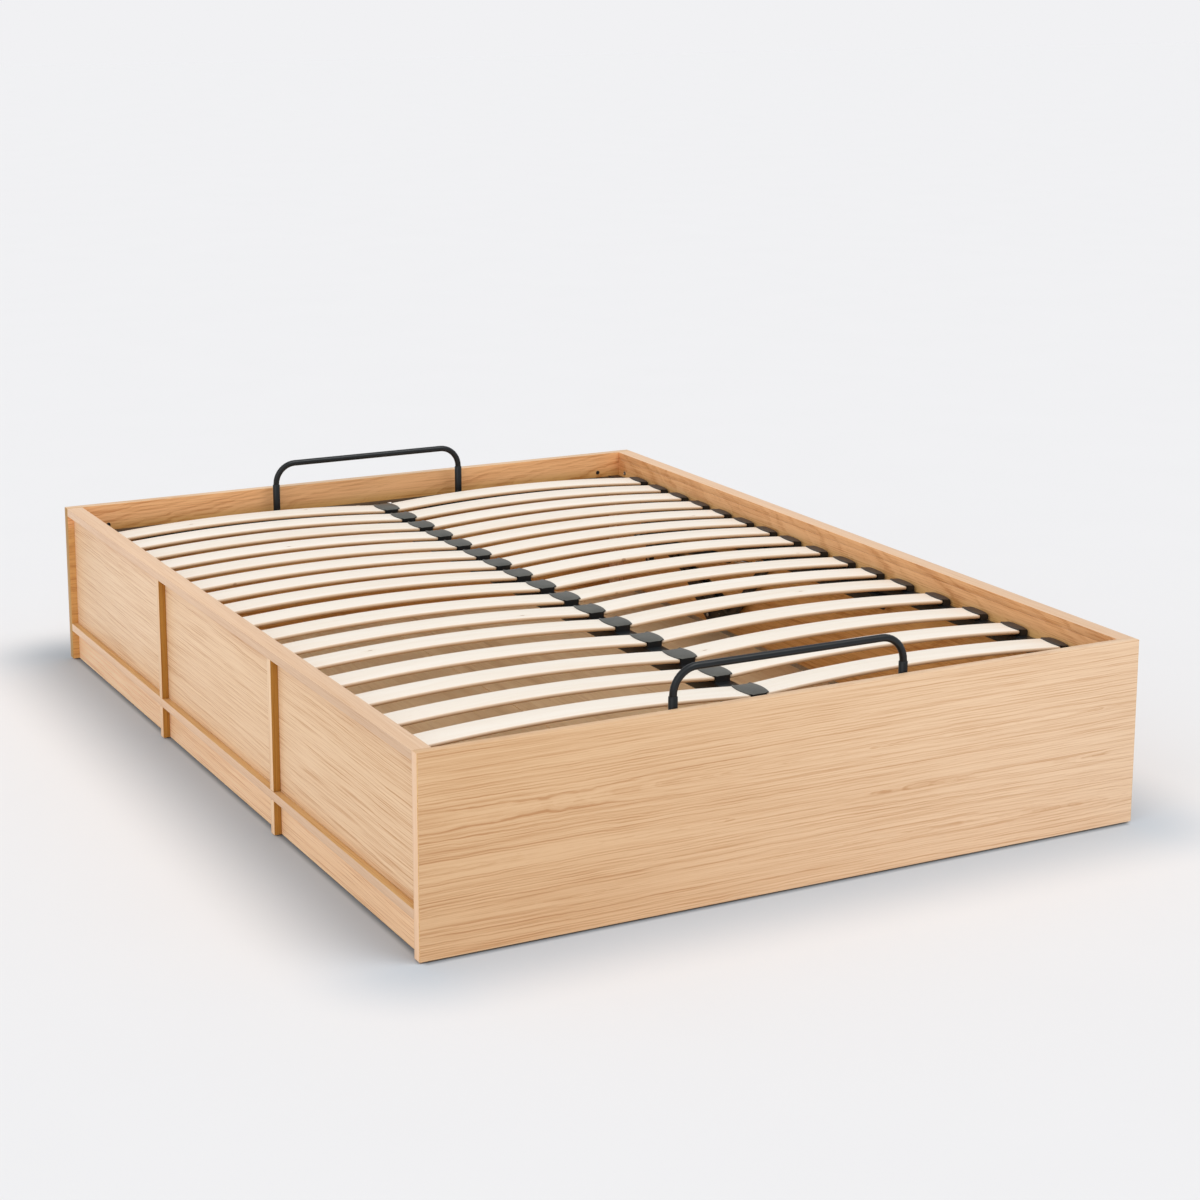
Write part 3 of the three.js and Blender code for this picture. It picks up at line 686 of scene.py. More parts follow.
class Finishes:
    """The finishes of the bed, built once and shared by its pieces."""

    def __init__(self) -> None:
        """Builds every material."""
        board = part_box("foot_board")[0].y
        crown = Heart((board + 0.0025, 0.241), (-0.045, 0.0), (-0.45, -0.03))
        foot = Heart((board - 0.001, 0.072), (0.03, -0.02), (0.2, 0.75))
        self.front = OakVeneer(
            "oak_front",
            Axis.X,
            (crown, foot),
            seed=3.1,
            strength=0.9,
            tint=Tint.FRESH,
            # Painted shade darkens the front towards its left end.
            painted_end_shade=(0.85, 0.77, 0.65),
            painted_end_shade_span=(CAD_BOX[0][0], CAD_BOX[1][0]),
        ).material()
        self.head = OakVeneer("oak_head", Axis.X, (Heart((1.09, 0.24), (-0.04, 0.03)),), seed=11.4).material()
        self.side: dict[Side, bpy.types.Material] = {
            side: OakVeneer(
                f"oak_side_{side.label}",
                Axis.Y,
                (Heart((side.value * 0.71, 0.46), (side.value * 0.012, 0.03)),),
                seed=5.7 + side.value,
                strength=1.05,
                # Painted light: a lighter copy of the oak for the sides.
                tint=Tint.PAINTED_SIDE_LIGHT,
                # Painted shade darkens the sides towards the foot end.
                painted_end_shade=(0.89, 0.87, 0.84),
                # Painted light brightens the side panel near the ground.
                painted_shading_below=(1.11, 1.08, 1.06),
                painted_shading_level=(0.09, 0.07),
            ).material()
            for side in Side
        }
        self.rail: dict[Side, bpy.types.Material] = {
            side: OakVeneer(
                f"oak_rail_{side.label}",
                Axis.Y,
                (Heart((side.value * 0.6, 0.5), (0.01, 0.03)),),
                seed=8.2 + side.value,
                strength=0.5,
                tint=Tint.ROSY,
                # Painted shade darkens the rails towards the foot end.
                painted_end_shade=(0.81, 0.83, 0.86),
            ).material()
            for side in Side
        }
        trunk = (Heart((0.3, 0.2)),)
        # Painted light on the battens and corner legs, as on the sides.
        self.upright = OakVeneer("oak_upright", Axis.Z, trunk, seed=1.3, tint=Tint.PAINTED_SIDE_LIGHT).material()
        self.corner = OakVeneer("oak_corner", Axis.Z, trunk, seed=7.3, strength=0.5, tint=Tint.ROSY).material()
        self.band = OakVeneer("oak_band", Axis.Z, trunk, seed=6.6, gloss=0.2, tint=Tint.BANDED).material()
        self.ledge = OakVeneer("oak_ledge", Axis.Y, trunk, seed=9.1, gloss=0.2, tint=Tint.GOLDEN).material()
        # Painted shade for the recesses beside the battens.
        self.recess = OakVeneer("oak_recess", Axis.Z, trunk, seed=4.4, gloss=0.15, tint=Tint.SHADED).material()
        # Painted shade: the inner faces of the box get a darker, oranger copy of the oak, with more painted shade
        # below the base.
        self.inside: dict[Axis, bpy.types.Material] = {
            grain: OakVeneer(
                f"oak_inside_{grain.name.lower()}",
                grain,
                (Heart((1.16, 0.28), (-0.05, 0.03)),),
                seed=2.6,
                strength=1.1,
                tint=Tint.PAINTED_INSIDE_SHADE,
                painted_shading_below=painted_shading_below,
            ).material()
            for grain, painted_shading_below in ((Axis.X, (0.76, 0.74, 0.52)), (Axis.Y, (0.96, 1.03, 0.86)))
        }
        self.birch = BirchSlat().material()
        self.floor = FloorVeneer().material()
        self.black = PowderCoat().material()
        self.zinc = BareMetal("zinc_plate", srgb(196, 198, 200), srgb(150, 150, 148), 0.32).material()
        self.chrome = BareMetal("polished_rod", srgb(214, 216, 220), srgb(190, 192, 196), 0.12).material()
        # Each plastic's second colour is painted light on its tops.
        self.saddle = MouldedPlastic("saddle_plastic", srgb(20, 20, 20), srgb(100, 99, 92)).material()
        self.end_cap = MouldedPlastic("end_cap_plastic", srgb(30, 26, 23), srgb(66, 57, 50), 0.5).material()


# Mesh tools


class Draft:
    """Gathers the closed shells of one piece, in metres, and turns them into an object."""

    same_corner: float = 1e-6
    same_point: float = 1e-7
    flat_below: float = 1.0
    board_sharp: float = 30.0
    steel_sharp: float = 40.0

    def __init__(self) -> None:
        """Starts with no shell."""
        self.mesh = bmesh.new()

    def _take(self, part: bmesh.types.BMesh, finish: int = 0) -> None:
        """Adds a finished shell and frees it.

        Args:
            part: The shell.
            finish: The number of the material slot for its faces.
        """
        bmesh.ops.recalc_face_normals(part, faces=part.faces[:])
        for face in part.faces:
            face.material_index = finish
        spare = bpy.data.meshes.new("spare")
        part.to_mesh(spare)
        part.free()
        self.mesh.from_mesh(spare)
        bpy.data.meshes.remove(spare)

    @staticmethod
    def _round(part: bmesh.types.BMesh, edge: float, above: float) -> None:
        """Rounds the sharp edges of a shell.

        Args:
            part: The shell.
            edge: The radius of the rounded edges.
            above: The angle in degrees above which an edge is sharp.
        """
        sharp = [e for e in part.edges if e.calc_face_angle(0.0) > math.radians(above)]
        bmesh.ops.bevel(part, geom=sharp, offset=edge, segments=2, profile=0.5, affect="EDGES", clamp_overlap=True)

    def skin(self, rings: Sequence[Sequence[Vector]]) -> None:
        """Skins a row of rings and caps both of its ends.

        Args:
            rings: Rings of as many points each, in order.
        """
        part = bmesh.new()
        made = [[part.verts.new(point) for point in ring] for ring in rings]
        part.faces.new(made[0][::-1])
        part.faces.new(made[-1])
        for near, far in zip(made, made[1:]):
            for i, j in around(len(near)):
                part.faces.new((near[i], near[j], far[j], far[i]))
        self._take(part)

    def prism(self, outline: Sequence[Flat], axis: Axis, span: Sequence[float], edge: float = 0.0) -> None:
        """Extrudes an outline and rounds its sharp edges.

        Args:
            outline: Points in the two other axes, in the order X, Y, Z.
            axis: The axis to extrude along.
            span: Where it starts and ends.
            edge: The radius of the rounded edges.
        """
        part = bmesh.new()
        rings = []
        for level in span:
            ring = []
            for first, second in outline:
                at = [first, second]
                at.insert(axis.value, level)
                ring.append(part.verts.new(at))
            rings.append(ring)
        near, far = rings
        part.faces.new(near)
        part.faces.new(far[::-1])
        for i, j in around(len(outline)):
            part.faces.new((near[j], near[i], far[i], far[j]))
        bmesh.ops.recalc_face_normals(part, faces=part.faces[:])
        if edge:
            self._round(part, edge, self.board_sharp)
        self._take(part)

    def eased(self, node: str, edge: float) -> None:
        """Takes over a node of the frame and rounds its sharp edges, as deburred and coated steel has them.

        Args:
            node: The node's name.
            edge: The radius of the rounded edges.
        """
        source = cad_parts[node]
        part = bmesh.new()
        part.from_mesh(source.data)
        part.transform(source.matrix_world)
        bmesh.ops.remove_doubles(part, verts=part.verts[:], dist=self.same_corner)
        flat = math.radians(self.flat_below)
        bmesh.ops.dissolve_limit(part, angle_limit=flat, verts=part.verts[:], edges=part.edges[:])
        self._round(part, edge, self.steel_sharp)
        self._take(part)

    def block(self, low: Sequence[float], high: Sequence[float], edge: float) -> None:
        """Adds a rectangular board with rounded edges between two corners."""
        outline = [(low[0], low[1]), (high[0], low[1]), (high[0], high[1]), (low[0], high[1])]
        self.prism(outline, Axis.Z, (low[2], high[2]), edge)

    def turned(
        self,
        profile: Sequence[Flat],
        centre: Sequence[float],
        axis: Vector,
        finish: int = 0,
        sides: int = 24,
    ) -> None:
        """Revolves a profile.

        Args:
            profile: Radius and height of each step; it starts and ends on the axis or at the same point.
            centre: Where height 0 lies.
            axis: The direction of the heights.
            finish: The material slot.
            sides: Points in each ring.
        """
        rotation = UP.rotation_difference(axis.normalized()).to_matrix()
        base = Vector(centre)
        part = bmesh.new()
        rings = []
        for radius, height in profile:
            steps = angles(sides if radius else 1)
            points = [Vector((radius * math.cos(a), radius * math.sin(a), height)) for a in steps]
            rings.append([part.verts.new(base + rotation @ point) for point in points])
        for near, far in zip(rings, rings[1:]):
            for i, j in around(sides):
                if len(near) == 1:
                    part.faces.new((near[0], far[j], far[i]))
                elif len(far) == 1:
                    part.faces.new((near[i], near[j], far[0]))
                else:
                    part.faces.new((near[i], near[j], far[j], far[i]))
        bmesh.ops.remove_doubles(part, verts=part.verts[:], dist=self.same_point)
        self._take(part, finish)

    def hex_bolt(self, head: Flat, centre: Sequence[float], axis: Vector, finish: int = 0) -> None:
        """Adds a bolt's head with a chamfered top.

        Args:
            head: Its radius and height.
            centre: The middle of its underside.
            axis: The way that it points.
            finish: The material slot.
        """
        radius, height = head
        profile = [(0.0, 0.0), (radius, 0.0), (radius, height * 0.75), (radius * 0.84, height), (0.0, height)]
        self.turned(profile, centre, axis, finish, sides=6)

    def tube(self, path: Sequence[Vector], radius: float, sides: int = 20) -> None:
        """Bends a round bar along a path in an upright plane across the bed, with flat ends.

        Args:
            path: The bar's centre line.
            radius: Its radius.
            sides: Points in each ring.
        """
        level = Vector((0, 1, 0))
        rings = []
        for i, here in enumerate(path):
            along = (path[min(i + 1, len(path) - 1)] - path[max(i - 1, 0)]).normalized()
            rings.append(circle(here, radius, level, along.cross(level), sides))
        self.skin(rings)

    def piece(
        self,
        name: str,
        body: Body,
        slot: Slot,
        finishes: Sequence[bpy.types.Material],
        stands_for: Sequence[str] = (),
        smooth: float = 32.0,
    ) -> bpy.types.Object:
        """Makes the object and hands it to the frame.

        Args:
            name: The piece's name.
            body: What it rides on.
            slot: The record's material slot; not used.
            finishes: Its materials, by slot number.
            stands_for: The frame's nodes that it replaces.
            smooth: The angle in degrees above which an edge stays sharp.

        Returns:
            The object.
        """
        mesh = bpy.data.meshes.new(name)
        self.mesh.to_mesh(mesh)
        self.mesh.free()
        for finish in finishes:
            mesh.materials.append(finish)
        mesh.polygons.foreach_set("use_smooth", [True] * len(mesh.polygons))
        mesh.set_sharp_from_angle(angle=math.radians(smooth))
        made = placed(name, mesh)
        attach(made, body.value)
        if stands_for:
            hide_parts(*stands_for)
        log.info("%s: %d faces on %s", name, len(mesh.polygons), body.value)
        return made


def placed(name: str, data: bpy.types.ID) -> bpy.types.Object:
    """Puts a mesh, light or camera into the scene.

    Args:
        name: The object's name.
        data: The mesh, light or camera.

    Returns:
        The object.
    """
    made = bpy.data.objects.new(name, data)
    bpy.context.scene.collection.objects.link(made)
    return made


def rounded(u: Interval, v: Interval, radius: float, steps: int = 3) -> list[Flat]:
    """A rectangle with round corners as a ring of points.

    Args:
        u: The first interval.
        v: The second interval.
        radius: The corners' radius.
        steps: Steps in each corner.

    Returns:
        The points, anticlockwise.
    """
    points = []
    corners = ((u[1], v[1], 0), (u[0], v[1], 90), (u[0], v[0], 180), (u[1], v[0], 270))
    for cu, cv, start in corners:
        mu = cu - math.copysign(radius, cu - (u[0] + u[1]) / 2)
        mv = cv - math.copysign(radius, cv - (v[0] + v[1]) / 2)
        for i in range(steps + 1):
            angle = math.radians(start + 90 * i / steps)
            points.append((mu + radius * math.cos(angle), mv + radius * math.sin(angle)))
    return points


def angles(count: int) -> list[float]:
    """That many evenly spaced angles round a circle, in radians."""
    return [2 * math.pi * i / count for i in range(count)]


def around(count: int) -> list[tuple[int, int]]:
    """The numbers of each point of a ring and of the point after it."""
    return [(i, (i + 1) % count) for i in range(count)]


def circle(centre: Vector, radius: float, first: Vector, second: Vector, sides: int) -> list[Vector]:
    """A circle as a ring of points, in the plane of two directions."""
    return [centre + radius * (math.cos(a) * first + math.sin(a) * second) for a in angles(sides)]


# The box


@dataclass
class OakBox:
    """The veneered boards that stand round the storage space."""

    finishes: Finishes
    edge: float = 0.0009
    gap: float = 0.0003
    battens: int = 2
    alike: float = 0.75

    def _reface(self, piece: bpy.types.Object, towards: Sequence[float], finish: bpy.types.Material) -> None:
        """Gives the faces that look one way another finish.

        Args:
            piece: The board.
            towards: The direction that the faces look in.
            finish: Their finish.
        """
        piece.data.materials.append(finish)
        number = len(piece.data.materials) - 1
        for face in piece.data.polygons:
            if face.normal.dot(Vector(towards).normalized()) > self.alike:
                face.material_index = number

    def _veneered(self, draft: Draft, node: str, finish: bpy.types.Material) -> bpy.types.Object:
        """Makes the piece that stands for an oak node of the box."""
        return draft.piece(f"{node}_veneered", Body.BOX, Slot.OAK, [finish], [node])

    def _board(self, node: str, finish: bpy.types.Material) -> bpy.types.Object:
        """Builds a rectangular board with rounded edges in a node's place.

        Args:
            node: The node's name.
            finish: The board's finish.

        Returns:
            The board.
        """
        draft = Draft()
        draft.block(*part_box(node), self.edge)
        return self._veneered(draft, node, finish)

    def _crossing(self, side: Side) -> None:
        """Builds the lower rail and the battens of one side, halved over each other.

        Args:
            side: The side.
        """
        name = f"lower_rail_{side.label}"
        rail_low, rail_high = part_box(name)
        inner, outer = sorted((abs(rail_low.x), abs(rail_high.x)))
        lap = (inner + outer) / 2
        outline = [(inner, rail_low.y)]
        for i in range(self.battens):
            node = f"batten_{side.label}_{i + 1}"
            low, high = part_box(node)
            notch_low, notch_high = low.y - self.gap, high.y + self.gap
            outline += [(inner, notch_low), (lap + self.gap, notch_low)]
            outline += [(lap + self.gap, notch_high), (inner, notch_high)]
            z_low, z_high = rail_low.z - self.gap, rail_high.z + self.gap
            halved = [
                (inner, low.z),
                (outer, low.z),
                (outer, z_low),
                (lap, z_low),
                (lap, z_high),
                (outer, z_high),
                (outer, high.z),
                (inner, high.z),
            ]
            draft = Draft()
            draft.prism([(side.value * x, z) for x, z in halved], Axis.Y, (low.y, high.y), self.edge)
            batten = self._veneered(draft, node, self.finishes.upright)
            # Painted shade on the battens' sides that face the ends of the bed.
            for end in End:
                self._reface(batten, (0, end.value, 0), self.finishes.recess)
        outline += [(inner, rail_high.y), (outer, rail_high.y), (outer, rail_low.y)]
        draft = Draft()
        draft.prism([(side.value * x, y) for x, y in outline], Axis.Z, (rail_low.z, rail_high.z), self.edge)
        rail = self._veneered(draft, name, self.finishes.rail[side])
        self._reface(rail, UP, self.finishes.ledge)

    def build(self) -> None:
        """Builds every board of the box."""
        for end, finish in ((End.FOOT, self.finishes.front), (End.HEAD, self.finishes.head)):
            board = self._board(f"{end.label}_board", finish)
            # Painted shade on the board's inner face.
            self._reface(board, (0, -end.value, 0), self.finishes.inside[Axis.X])
            edge = self.finishes.corner if end is End.FOOT else self.finishes.band
            for side in Side:
                self._reface(board, (side.value, 0, 0), edge)
                self._reface(board, (side.value, end.value, 0), self.finishes.ledge)
        for side in Side:
            for node, finish in (("side_panel", self.finishes.side[side]), ("cap_rail", self.finishes.rail[side])):
                board = self._board(f"{node}_{side.label}", finish)
                # Painted shade on the inner faces of the side panel and the cap rail.
                self._reface(board, (-side.value, 0, 0), self.finishes.inside[Axis.Y])
            self._crossing(side)
            for end in End:
                self._board(f"corner_leg_{end.label}_{side.label}", self.finishes.upright)


@dataclass
class StorageFloor:
    """The two brown boards on the ground, their steel ledges and the joining strip."""

    finishes: Finishes
    edge: float = 0.0006

    @staticmethod
    def _dress(node: str, finish: bpy.types.Material) -> None:
        """Gives a node of the frame its finish, in every material slot.

        Args:
            node: The node's name.
            finish: The material.
        """
        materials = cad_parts[node].data.materials
        materials.clear()
        materials.append(finish)
        log.info("%s: dressed in %s", node, finish.name)

    def build(self) -> None:
        """Builds the boards and dresses the metal and the strip."""
        for side in Side:
            node = f"floor_panel_{side.label}"
            low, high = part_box(node)
            leg_low, leg_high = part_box(f"corner_leg_{End.HEAD.label}_{side.label}")
            near, far = sorted((abs(low.x), abs(high.x)))
            leg = min(abs(leg_low.x), abs(leg_high.x))
            notch = leg_low.y
            outline = [
                (near, low.y),
                (leg, low.y),
                (leg, -notch),
                (far, -notch),
                (far, notch),
                (leg, notch),
                (leg, high.y),
                (near, high.y),
            ]
            draft = Draft()
            draft.prism([(side.value * x, y) for x, y in outline], Axis.Z, (low.z, high.z), self.edge)
            draft.piece(f"{node}_board", Body.BOX, Slot.FLOOR_BOARD, [self.finishes.floor], [node])
            self._dress(f"floor_ledge_{side.label}", self.finishes.zinc)
        self._dress("floor_joint_strip", self.finishes.floor)


# The slatted base


@dataclass(frozen=True)
class PlugStep:
    """A step of a tube's plug: how far inside the tube's outline it lies, and how far it rises."""

    inset: float
    rise: float
    corner: float
    edge: float


@dataclass
class BaseFrame:
    """The welded steel tubes under the slats."""

    finishes: Finishes
    corner: float = 0.0028
    plug: tuple[PlugStep, ...] = (PlugStep(0.0006, 0.0012, 0.0024, 0.0004), PlugStep(0.005, 0.0006, 0.003, 0.0003))
    beam: float = 0.040
    beam_height: float = 0.030
    gusset: float = 0.003
    gusset_reach: float = 0.055
    gusset_edge: float = 0.0005
    bolt: Flat = (0.0058, 0.0036)
    bolt_at: Flat = (0.36, 0.26)
    top_ripples: int = 14
    upright_ripples: int = 12
    bead: float = 0.0015
    bead_ends: float = 0.55
    bead_sizes: Interval = (0.85, 1.15)
    bead_chance: float = 0.0002
    bead_seed: int = 4
    bead_sides: int = 8

    def _hollow(self, axis: Axis, node: str) -> None:
        """Builds a rectangular tube with round corners in a node's place.

        Args:
            axis: The axis along the tube.
            node: The node's name.
        """
        low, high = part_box(node)
        intervals = [(low[a.value], high[a.value]) for a in Axis if a is not axis]
        draft = Draft()
        draft.prism(rounded(*intervals, self.corner), axis, (low[axis.value], high[axis.value]))
        draft.piece(f"{node}_rounded", Body.BASE, Slot.BLACK_STEEL, [self.finishes.black], [node])

    def _plugs(self) -> None:
        """Builds the domed plastic plugs in the side tubes' open ends."""
        draft = Draft()
        for side in Side:
            low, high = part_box(f"side_tube_{side.label}")
            for end in End:
                face = end.value * high.y
                for step in self.plug:
                    flat = [(low[a.value] + step.inset, high[a.value] - step.inset) for a in (Axis.X, Axis.Z)]
                    top = face + end.value * step.rise
                    draft.prism(rounded(*flat, step.corner), Axis.Y, sorted((face, top)), step.edge)
                    face = top
        draft.piece("tube_plugs", Body.BASE, Slot.GREY_PLASTIC, [self.finishes.saddle])

    def _beam(self) -> None:
        """Builds the centre beam with its flat gussets and their bolts."""
        low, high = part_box("centre_beam")
        half = self.beam / 2
        draft = Draft()
        ring = rounded((-half, half), (high.z - self.beam_height, high.z), self.corner)
        draft.prism(ring, Axis.Y, (low.y, high.y))
        draft.piece("centre_beam_tube", Body.BASE, Slot.BLACK_STEEL, [self.finishes.black], ["centre_beam"])
        plates = Draft()
        for end in End:
            tip = end.value * high.y
            for way in (-1, 1):
                outline = [(way * half, tip), (way * high.x, tip), (way * half, tip - end.value * self.gusset_reach)]
                plates.prism(outline, Axis.Z, (high.z - self.gusset, high.z), self.gusset_edge)
                x = way * (half + (high.x - half) * self.bolt_at[0])
                y = tip - end.value * self.gusset_reach * self.bolt_at[1]
                plates.hex_bolt(self.bolt, (x, y, high.z), UP, finish=1)
        plates.piece("beam_gussets", Body.BASE, Slot.BLACK_STEEL, [self.finishes.black, self.finishes.zinc])

    def _welds(self) -> None:
        """Lays the weld beads where the tubes meet."""
        draft = Draft()
        side_low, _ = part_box("side_tube_right")
        dice = random.Random(self.bead_seed)
        for end in End:
            low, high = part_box(f"{end.label}_tube")
            inner = low.y if end is End.HEAD else high.y
            for side in Side:
                x = side.value * side_low.x
                top = (Vector((x, low.y, high.z)), Vector((x, high.y, high.z)))
                upright = (Vector((x, inner, low.z)), Vector((x, inner, high.z)))
                self._bead(draft, *top, self.top_ripples, dice)
                self._bead(draft, *upright, self.upright_ripples, dice)
        draft.piece("frame_welds", Body.BASE, Slot.BLACK_STEEL, [self.finishes.black])

    def _bead(self, draft: Draft, start: Vector, stop: Vector, ripples: int, dice: random.Random) -> None:
        """Adds one straight bead of overlapping ripples.

        Args:
            draft: The draft that takes it.
            start: Where it starts.
            stop: Where it ends.
            ripples: How many ripples it has.
            dice: The chance in the ripples' sizes.
        """
        along = (stop - start).normalized()
        first = along.orthogonal().normalized()
        second = along.cross(first)
        rings = []
        for i in range(ripples + 1):
            size = self.bead_ends if i in (0, ripples) else self.bead_sizes[i % 2]
            radius = self.bead * size + dice.uniform(0, self.bead_chance)
            rings.append(circle(start.lerp(stop, i / ripples), radius, first, second, self.bead_sides))
        draft.skin(rings)

    def build(self) -> None:
        """Builds the tubes, the beam, the plugs and the welds."""
        for side in Side:
            self._hollow(Axis.Y, f"side_tube_{side.label}")
        for end in End:
            self._hollow(Axis.X, f"{end.label}_tube")
        self._plugs()
        self._beam()
        self._welds()


@dataclass
class SlatRows:
    """The rows of bowed birch slats with their saddle caps and end caps."""

    finishes: Finishes
    curve: SlatCurve = SlatCurve()
    rows: int = 16
    slat: Interval = (0.016, 0.6845)
    width: float = 0.068
    thickness: float = 0.008
    edge: float = 0.0036
    tip: float = 0.006
    tip_steps: int = 5
    stations: int = 30
    cap_bottom: float = 0.308
    cap_top: float = 0.3235
    cap_half: float = 0.033
    cap_steps: int = 14
    cap_gap: float = 0.0002
    cap_edge: float = 0.0006
    cap_drop: float = 0.0034
    cap_flatness: int = 4
    slat_smooth: float = 50.0
    cap_smooth: float = 40.0
    lip: float = 0.0205
    lip_bulge: float = 0.0055
    lip_round: float = 0.8
    lip_rise: float = 0.0001
    lip_steps: Profile = ((-0.0012, 0.0), (-0.0003, 0.0002), (0.0, 0.0007), (-0.0004, 0.0013), (-0.0018, 0.0017))
    crown_steps: Profile = ((0.6, -0.0003), (0.25, 0.0))
    shoe: float = 0.703
    shoe_lip: float = 0.0025
    shoe_bulge: float = 0.8
    shoe_skew: float = 0.003
    shoe_foot: Profile = ((-0.0008, 0.0), (0.0, 0.0010))
    shoe_crown: Profile = ((0.0, -0.0040), (-0.0008, -0.0016), (-0.0030, -0.0003), (-0.0080, 0.0))
    shoe_lip_steps: Profile = ((0.0020, 0.0018), (0.0004, 0.0013), (0.0, 0.0007), (0.0004, 0.0001))

    def _upper(self, x: float) -> float:
        """The height of a slat's upper face at a distance from the bed's middle."""
        return self.curve.height(x) + self.thickness

    def _slat(self, draft: Draft, side: Side, middle: float) -> None:
        """Bends one slat of a row, with rounded corners at both ends.

        Args:
            draft: The draft that takes it.
            side: The slat's side of the bed.
            middle: The row's place along the bed.
        """
        near, far = self.slat
        section = rounded((-self.width / 2, self.width / 2), (0.0, self.thickness), self.edge, steps=4)
        turns = [math.radians(90 * i / self.tip_steps) for i in range(self.tip_steps + 1)]
        taper = [self.tip * (1 - math.cos(turn)) for turn in turns]
        inner = [near + self.tip + (far - near - 2 * self.tip) * i / self.stations for i in range(1, self.stations)]
        rings = []
        for x in [near + t for t in taper] + inner + [far - t for t in reversed(taper)]:
            short = max(self.tip - min(x - near, far - x), 0.0)
            inset = self.tip - math.sqrt(self.tip**2 - short**2)
            seat = self.curve.height(x)
            ring = [(side.value * x, middle + v - math.copysign(inset, v), seat + w) for v, w in section]
            rings.append([Vector(point) for point in ring])
        draft.skin(rings)

    def _lip(self, share: float) -> float:
        """How far a lip bulges, at a share of -1 to 1 of the cap's depth."""
        return self.lip_bulge * math.cos(share * math.pi / 2) ** self.lip_round

    def _crown(self, share: float) -> float:
        """The height of the cap's top, at a share of -1 to 1 of its depth."""
        return self.cap_top - self.cap_drop * abs(share) ** self.cap_flatness

    def _saddle(self, draft: Draft, middle: float) -> None:
        """Moulds the cap on the centre beam: a core between the slats' ends under two rounded lips.

        Args:
            draft: The draft that takes it.
            middle: The row's place along the bed.
        """
        core = self.slat[0] - self.cap_gap
        rings = []
        for y, share in self._depth(middle):
            reach = self.lip + self._lip(share)
            over = self._upper(reach) + self.lip_rise
            right = [(core - self.cap_edge, self.cap_bottom), (core, self.cap_bottom + self.cap_edge)]
            right.append((core, self._upper(core)))
            right += [(reach + out, over + rise) for out, rise in self.lip_steps]
            right += [(reach * part, self._crown(share) + rise) for part, rise in self.crown_steps]
            ring = right + [(-x, z) for x, z in reversed(right)]
            rings.append([Vector((x, y, z)) for x, z in ring])
        draft.skin(rings)

    def _end_cap(self, draft: Draft, side: Side, middle: float) -> None:
        """Moulds the cap on a side tube: a closed shoe outside the slat's end, with one lip over the slat.

        Args:
            draft: The draft that takes it.
            side: The cap's side of the bed.
            middle: The row's place along the bed.
        """
        core = self.slat[1] + self.cap_gap
        rings = []
        for y, share in self._depth(middle):
            reach = core - self.shoe_lip - self._lip(share) * self.shoe_bulge + self.shoe_skew * share
            over = self._upper(reach) + self.lip_rise
            outline = [(core + self.cap_edge, self.cap_bottom)]
            outline += [(self.shoe + out, self.cap_bottom + rise) for out, rise in self.shoe_foot]
            outline += [(self.shoe + out, self._crown(share) + rise) for out, rise in self.shoe_crown]
            outline += [(reach + out, over + rise) for out, rise in self.shoe_lip_steps]
            outline += [(core, over), (core, self.cap_bottom + self.cap_edge)]
            rings.append([Vector((side.value * x, y, z)) for x, z in outline])
        draft.skin(rings)

    def _depth(self, middle: float) -> list[Flat]:
        """Places along a cap's depth, closer together at its rounded ends.

        Args:
            middle: The row's place along the bed.

        Returns:
            Each place with its share of -1 to 1 of the depth.
        """
        shares = [math.sin(math.pi / 2 * (2 * i / self.cap_steps - 1)) for i in range(self.cap_steps + 1)]
        return [(middle + share * self.cap_half, share) for share in shares]

    def build(self) -> None:
        """Builds every row."""
        for row in range(1, self.rows + 1):
            node = f"slat_row_{row:02d}"
            low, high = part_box(node)
            middle = (low.y + high.y) / 2
            slats = Draft()
            ends = Draft()
            caps = Draft()
            self._saddle(caps, middle)
            for side in Side:
                self._slat(slats, side, middle)
                self._end_cap(ends, side, middle)
            slats.piece(
                f"slats_{row:02d}", Body.BASE, Slot.BIRCH, [self.finishes.birch], [node], smooth=self.slat_smooth
            )
            for draft, name, finish in (
                (caps, "saddle_cap", self.finishes.saddle),
                (ends, "end_caps", self.finishes.end_cap),
            ):
                draft.piece(f"{name}_{row:02d}", Body.BASE, Slot.GREY_PLASTIC, [finish], smooth=self.cap_smooth)


@dataclass
class MattressArches:
    """The bent tubes that keep the mattress in place and serve as handles."""

    finishes: Finishes
    span: float = 0.480
    bar_height: float = 0.427
    bend: float = 0.048
    bend_steps: int = 10
    radius: float = 0.007
    sleeve: float = 0.0085
    sleeve_top: float = 0.378
    sleeve_rim: Profile = ((0.0, -0.0012), (-0.0008, -0.0002), (-0.0019, 0.0))
    smooth: float = 40.0

    def _path(self, y: float, foot: float) -> list[Vector]:
        """The tube's centre line from one foot to the other.

        Args:
            y: The arch's place along the bed.
            foot: The height of its feet.

        Returns:
            The points of the line.
        """
        half = self.span / 2
        points = [Vector((-half, y, foot))]
        for side, start in ((Side.LEFT, 180.0), (Side.RIGHT, 90.0)):
            for i in range(self.bend_steps + 1):
                angle = math.radians(start - 90 * i / self.bend_steps)
                x = side.value * (half - self.bend) + self.bend * math.cos(angle)
                points.append(Vector((x, y, self.bar_height - self.bend + self.bend * math.sin(angle))))
        return [*points, Vector((half, y, foot))]

    def build(self) -> None:
        """Builds both arches."""
        for end in End:
            node = f"{end.label}_arch"
            low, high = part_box(node)
            y = (low.y + high.y) / 2
            height = self.sleeve_top - low.z
            rim = [(self.sleeve + out, height + rise) for out, rise in self.sleeve_rim]
            draft = Draft()
            draft.tube(self._path(y, low.z), self.radius)
            for side in Side:
                profile = [(0.0, 0.0), (self.sleeve, 0.0), *rim, (0.0, height)]
                draft.turned(profile, (side.value * self.span / 2, y, low.z), UP)
            draft.piece(f"{node}_tube", Body.BASE, Slot.BLACK_STEEL, [self.finishes.black], [node], self.smooth)


# The lift mechanism


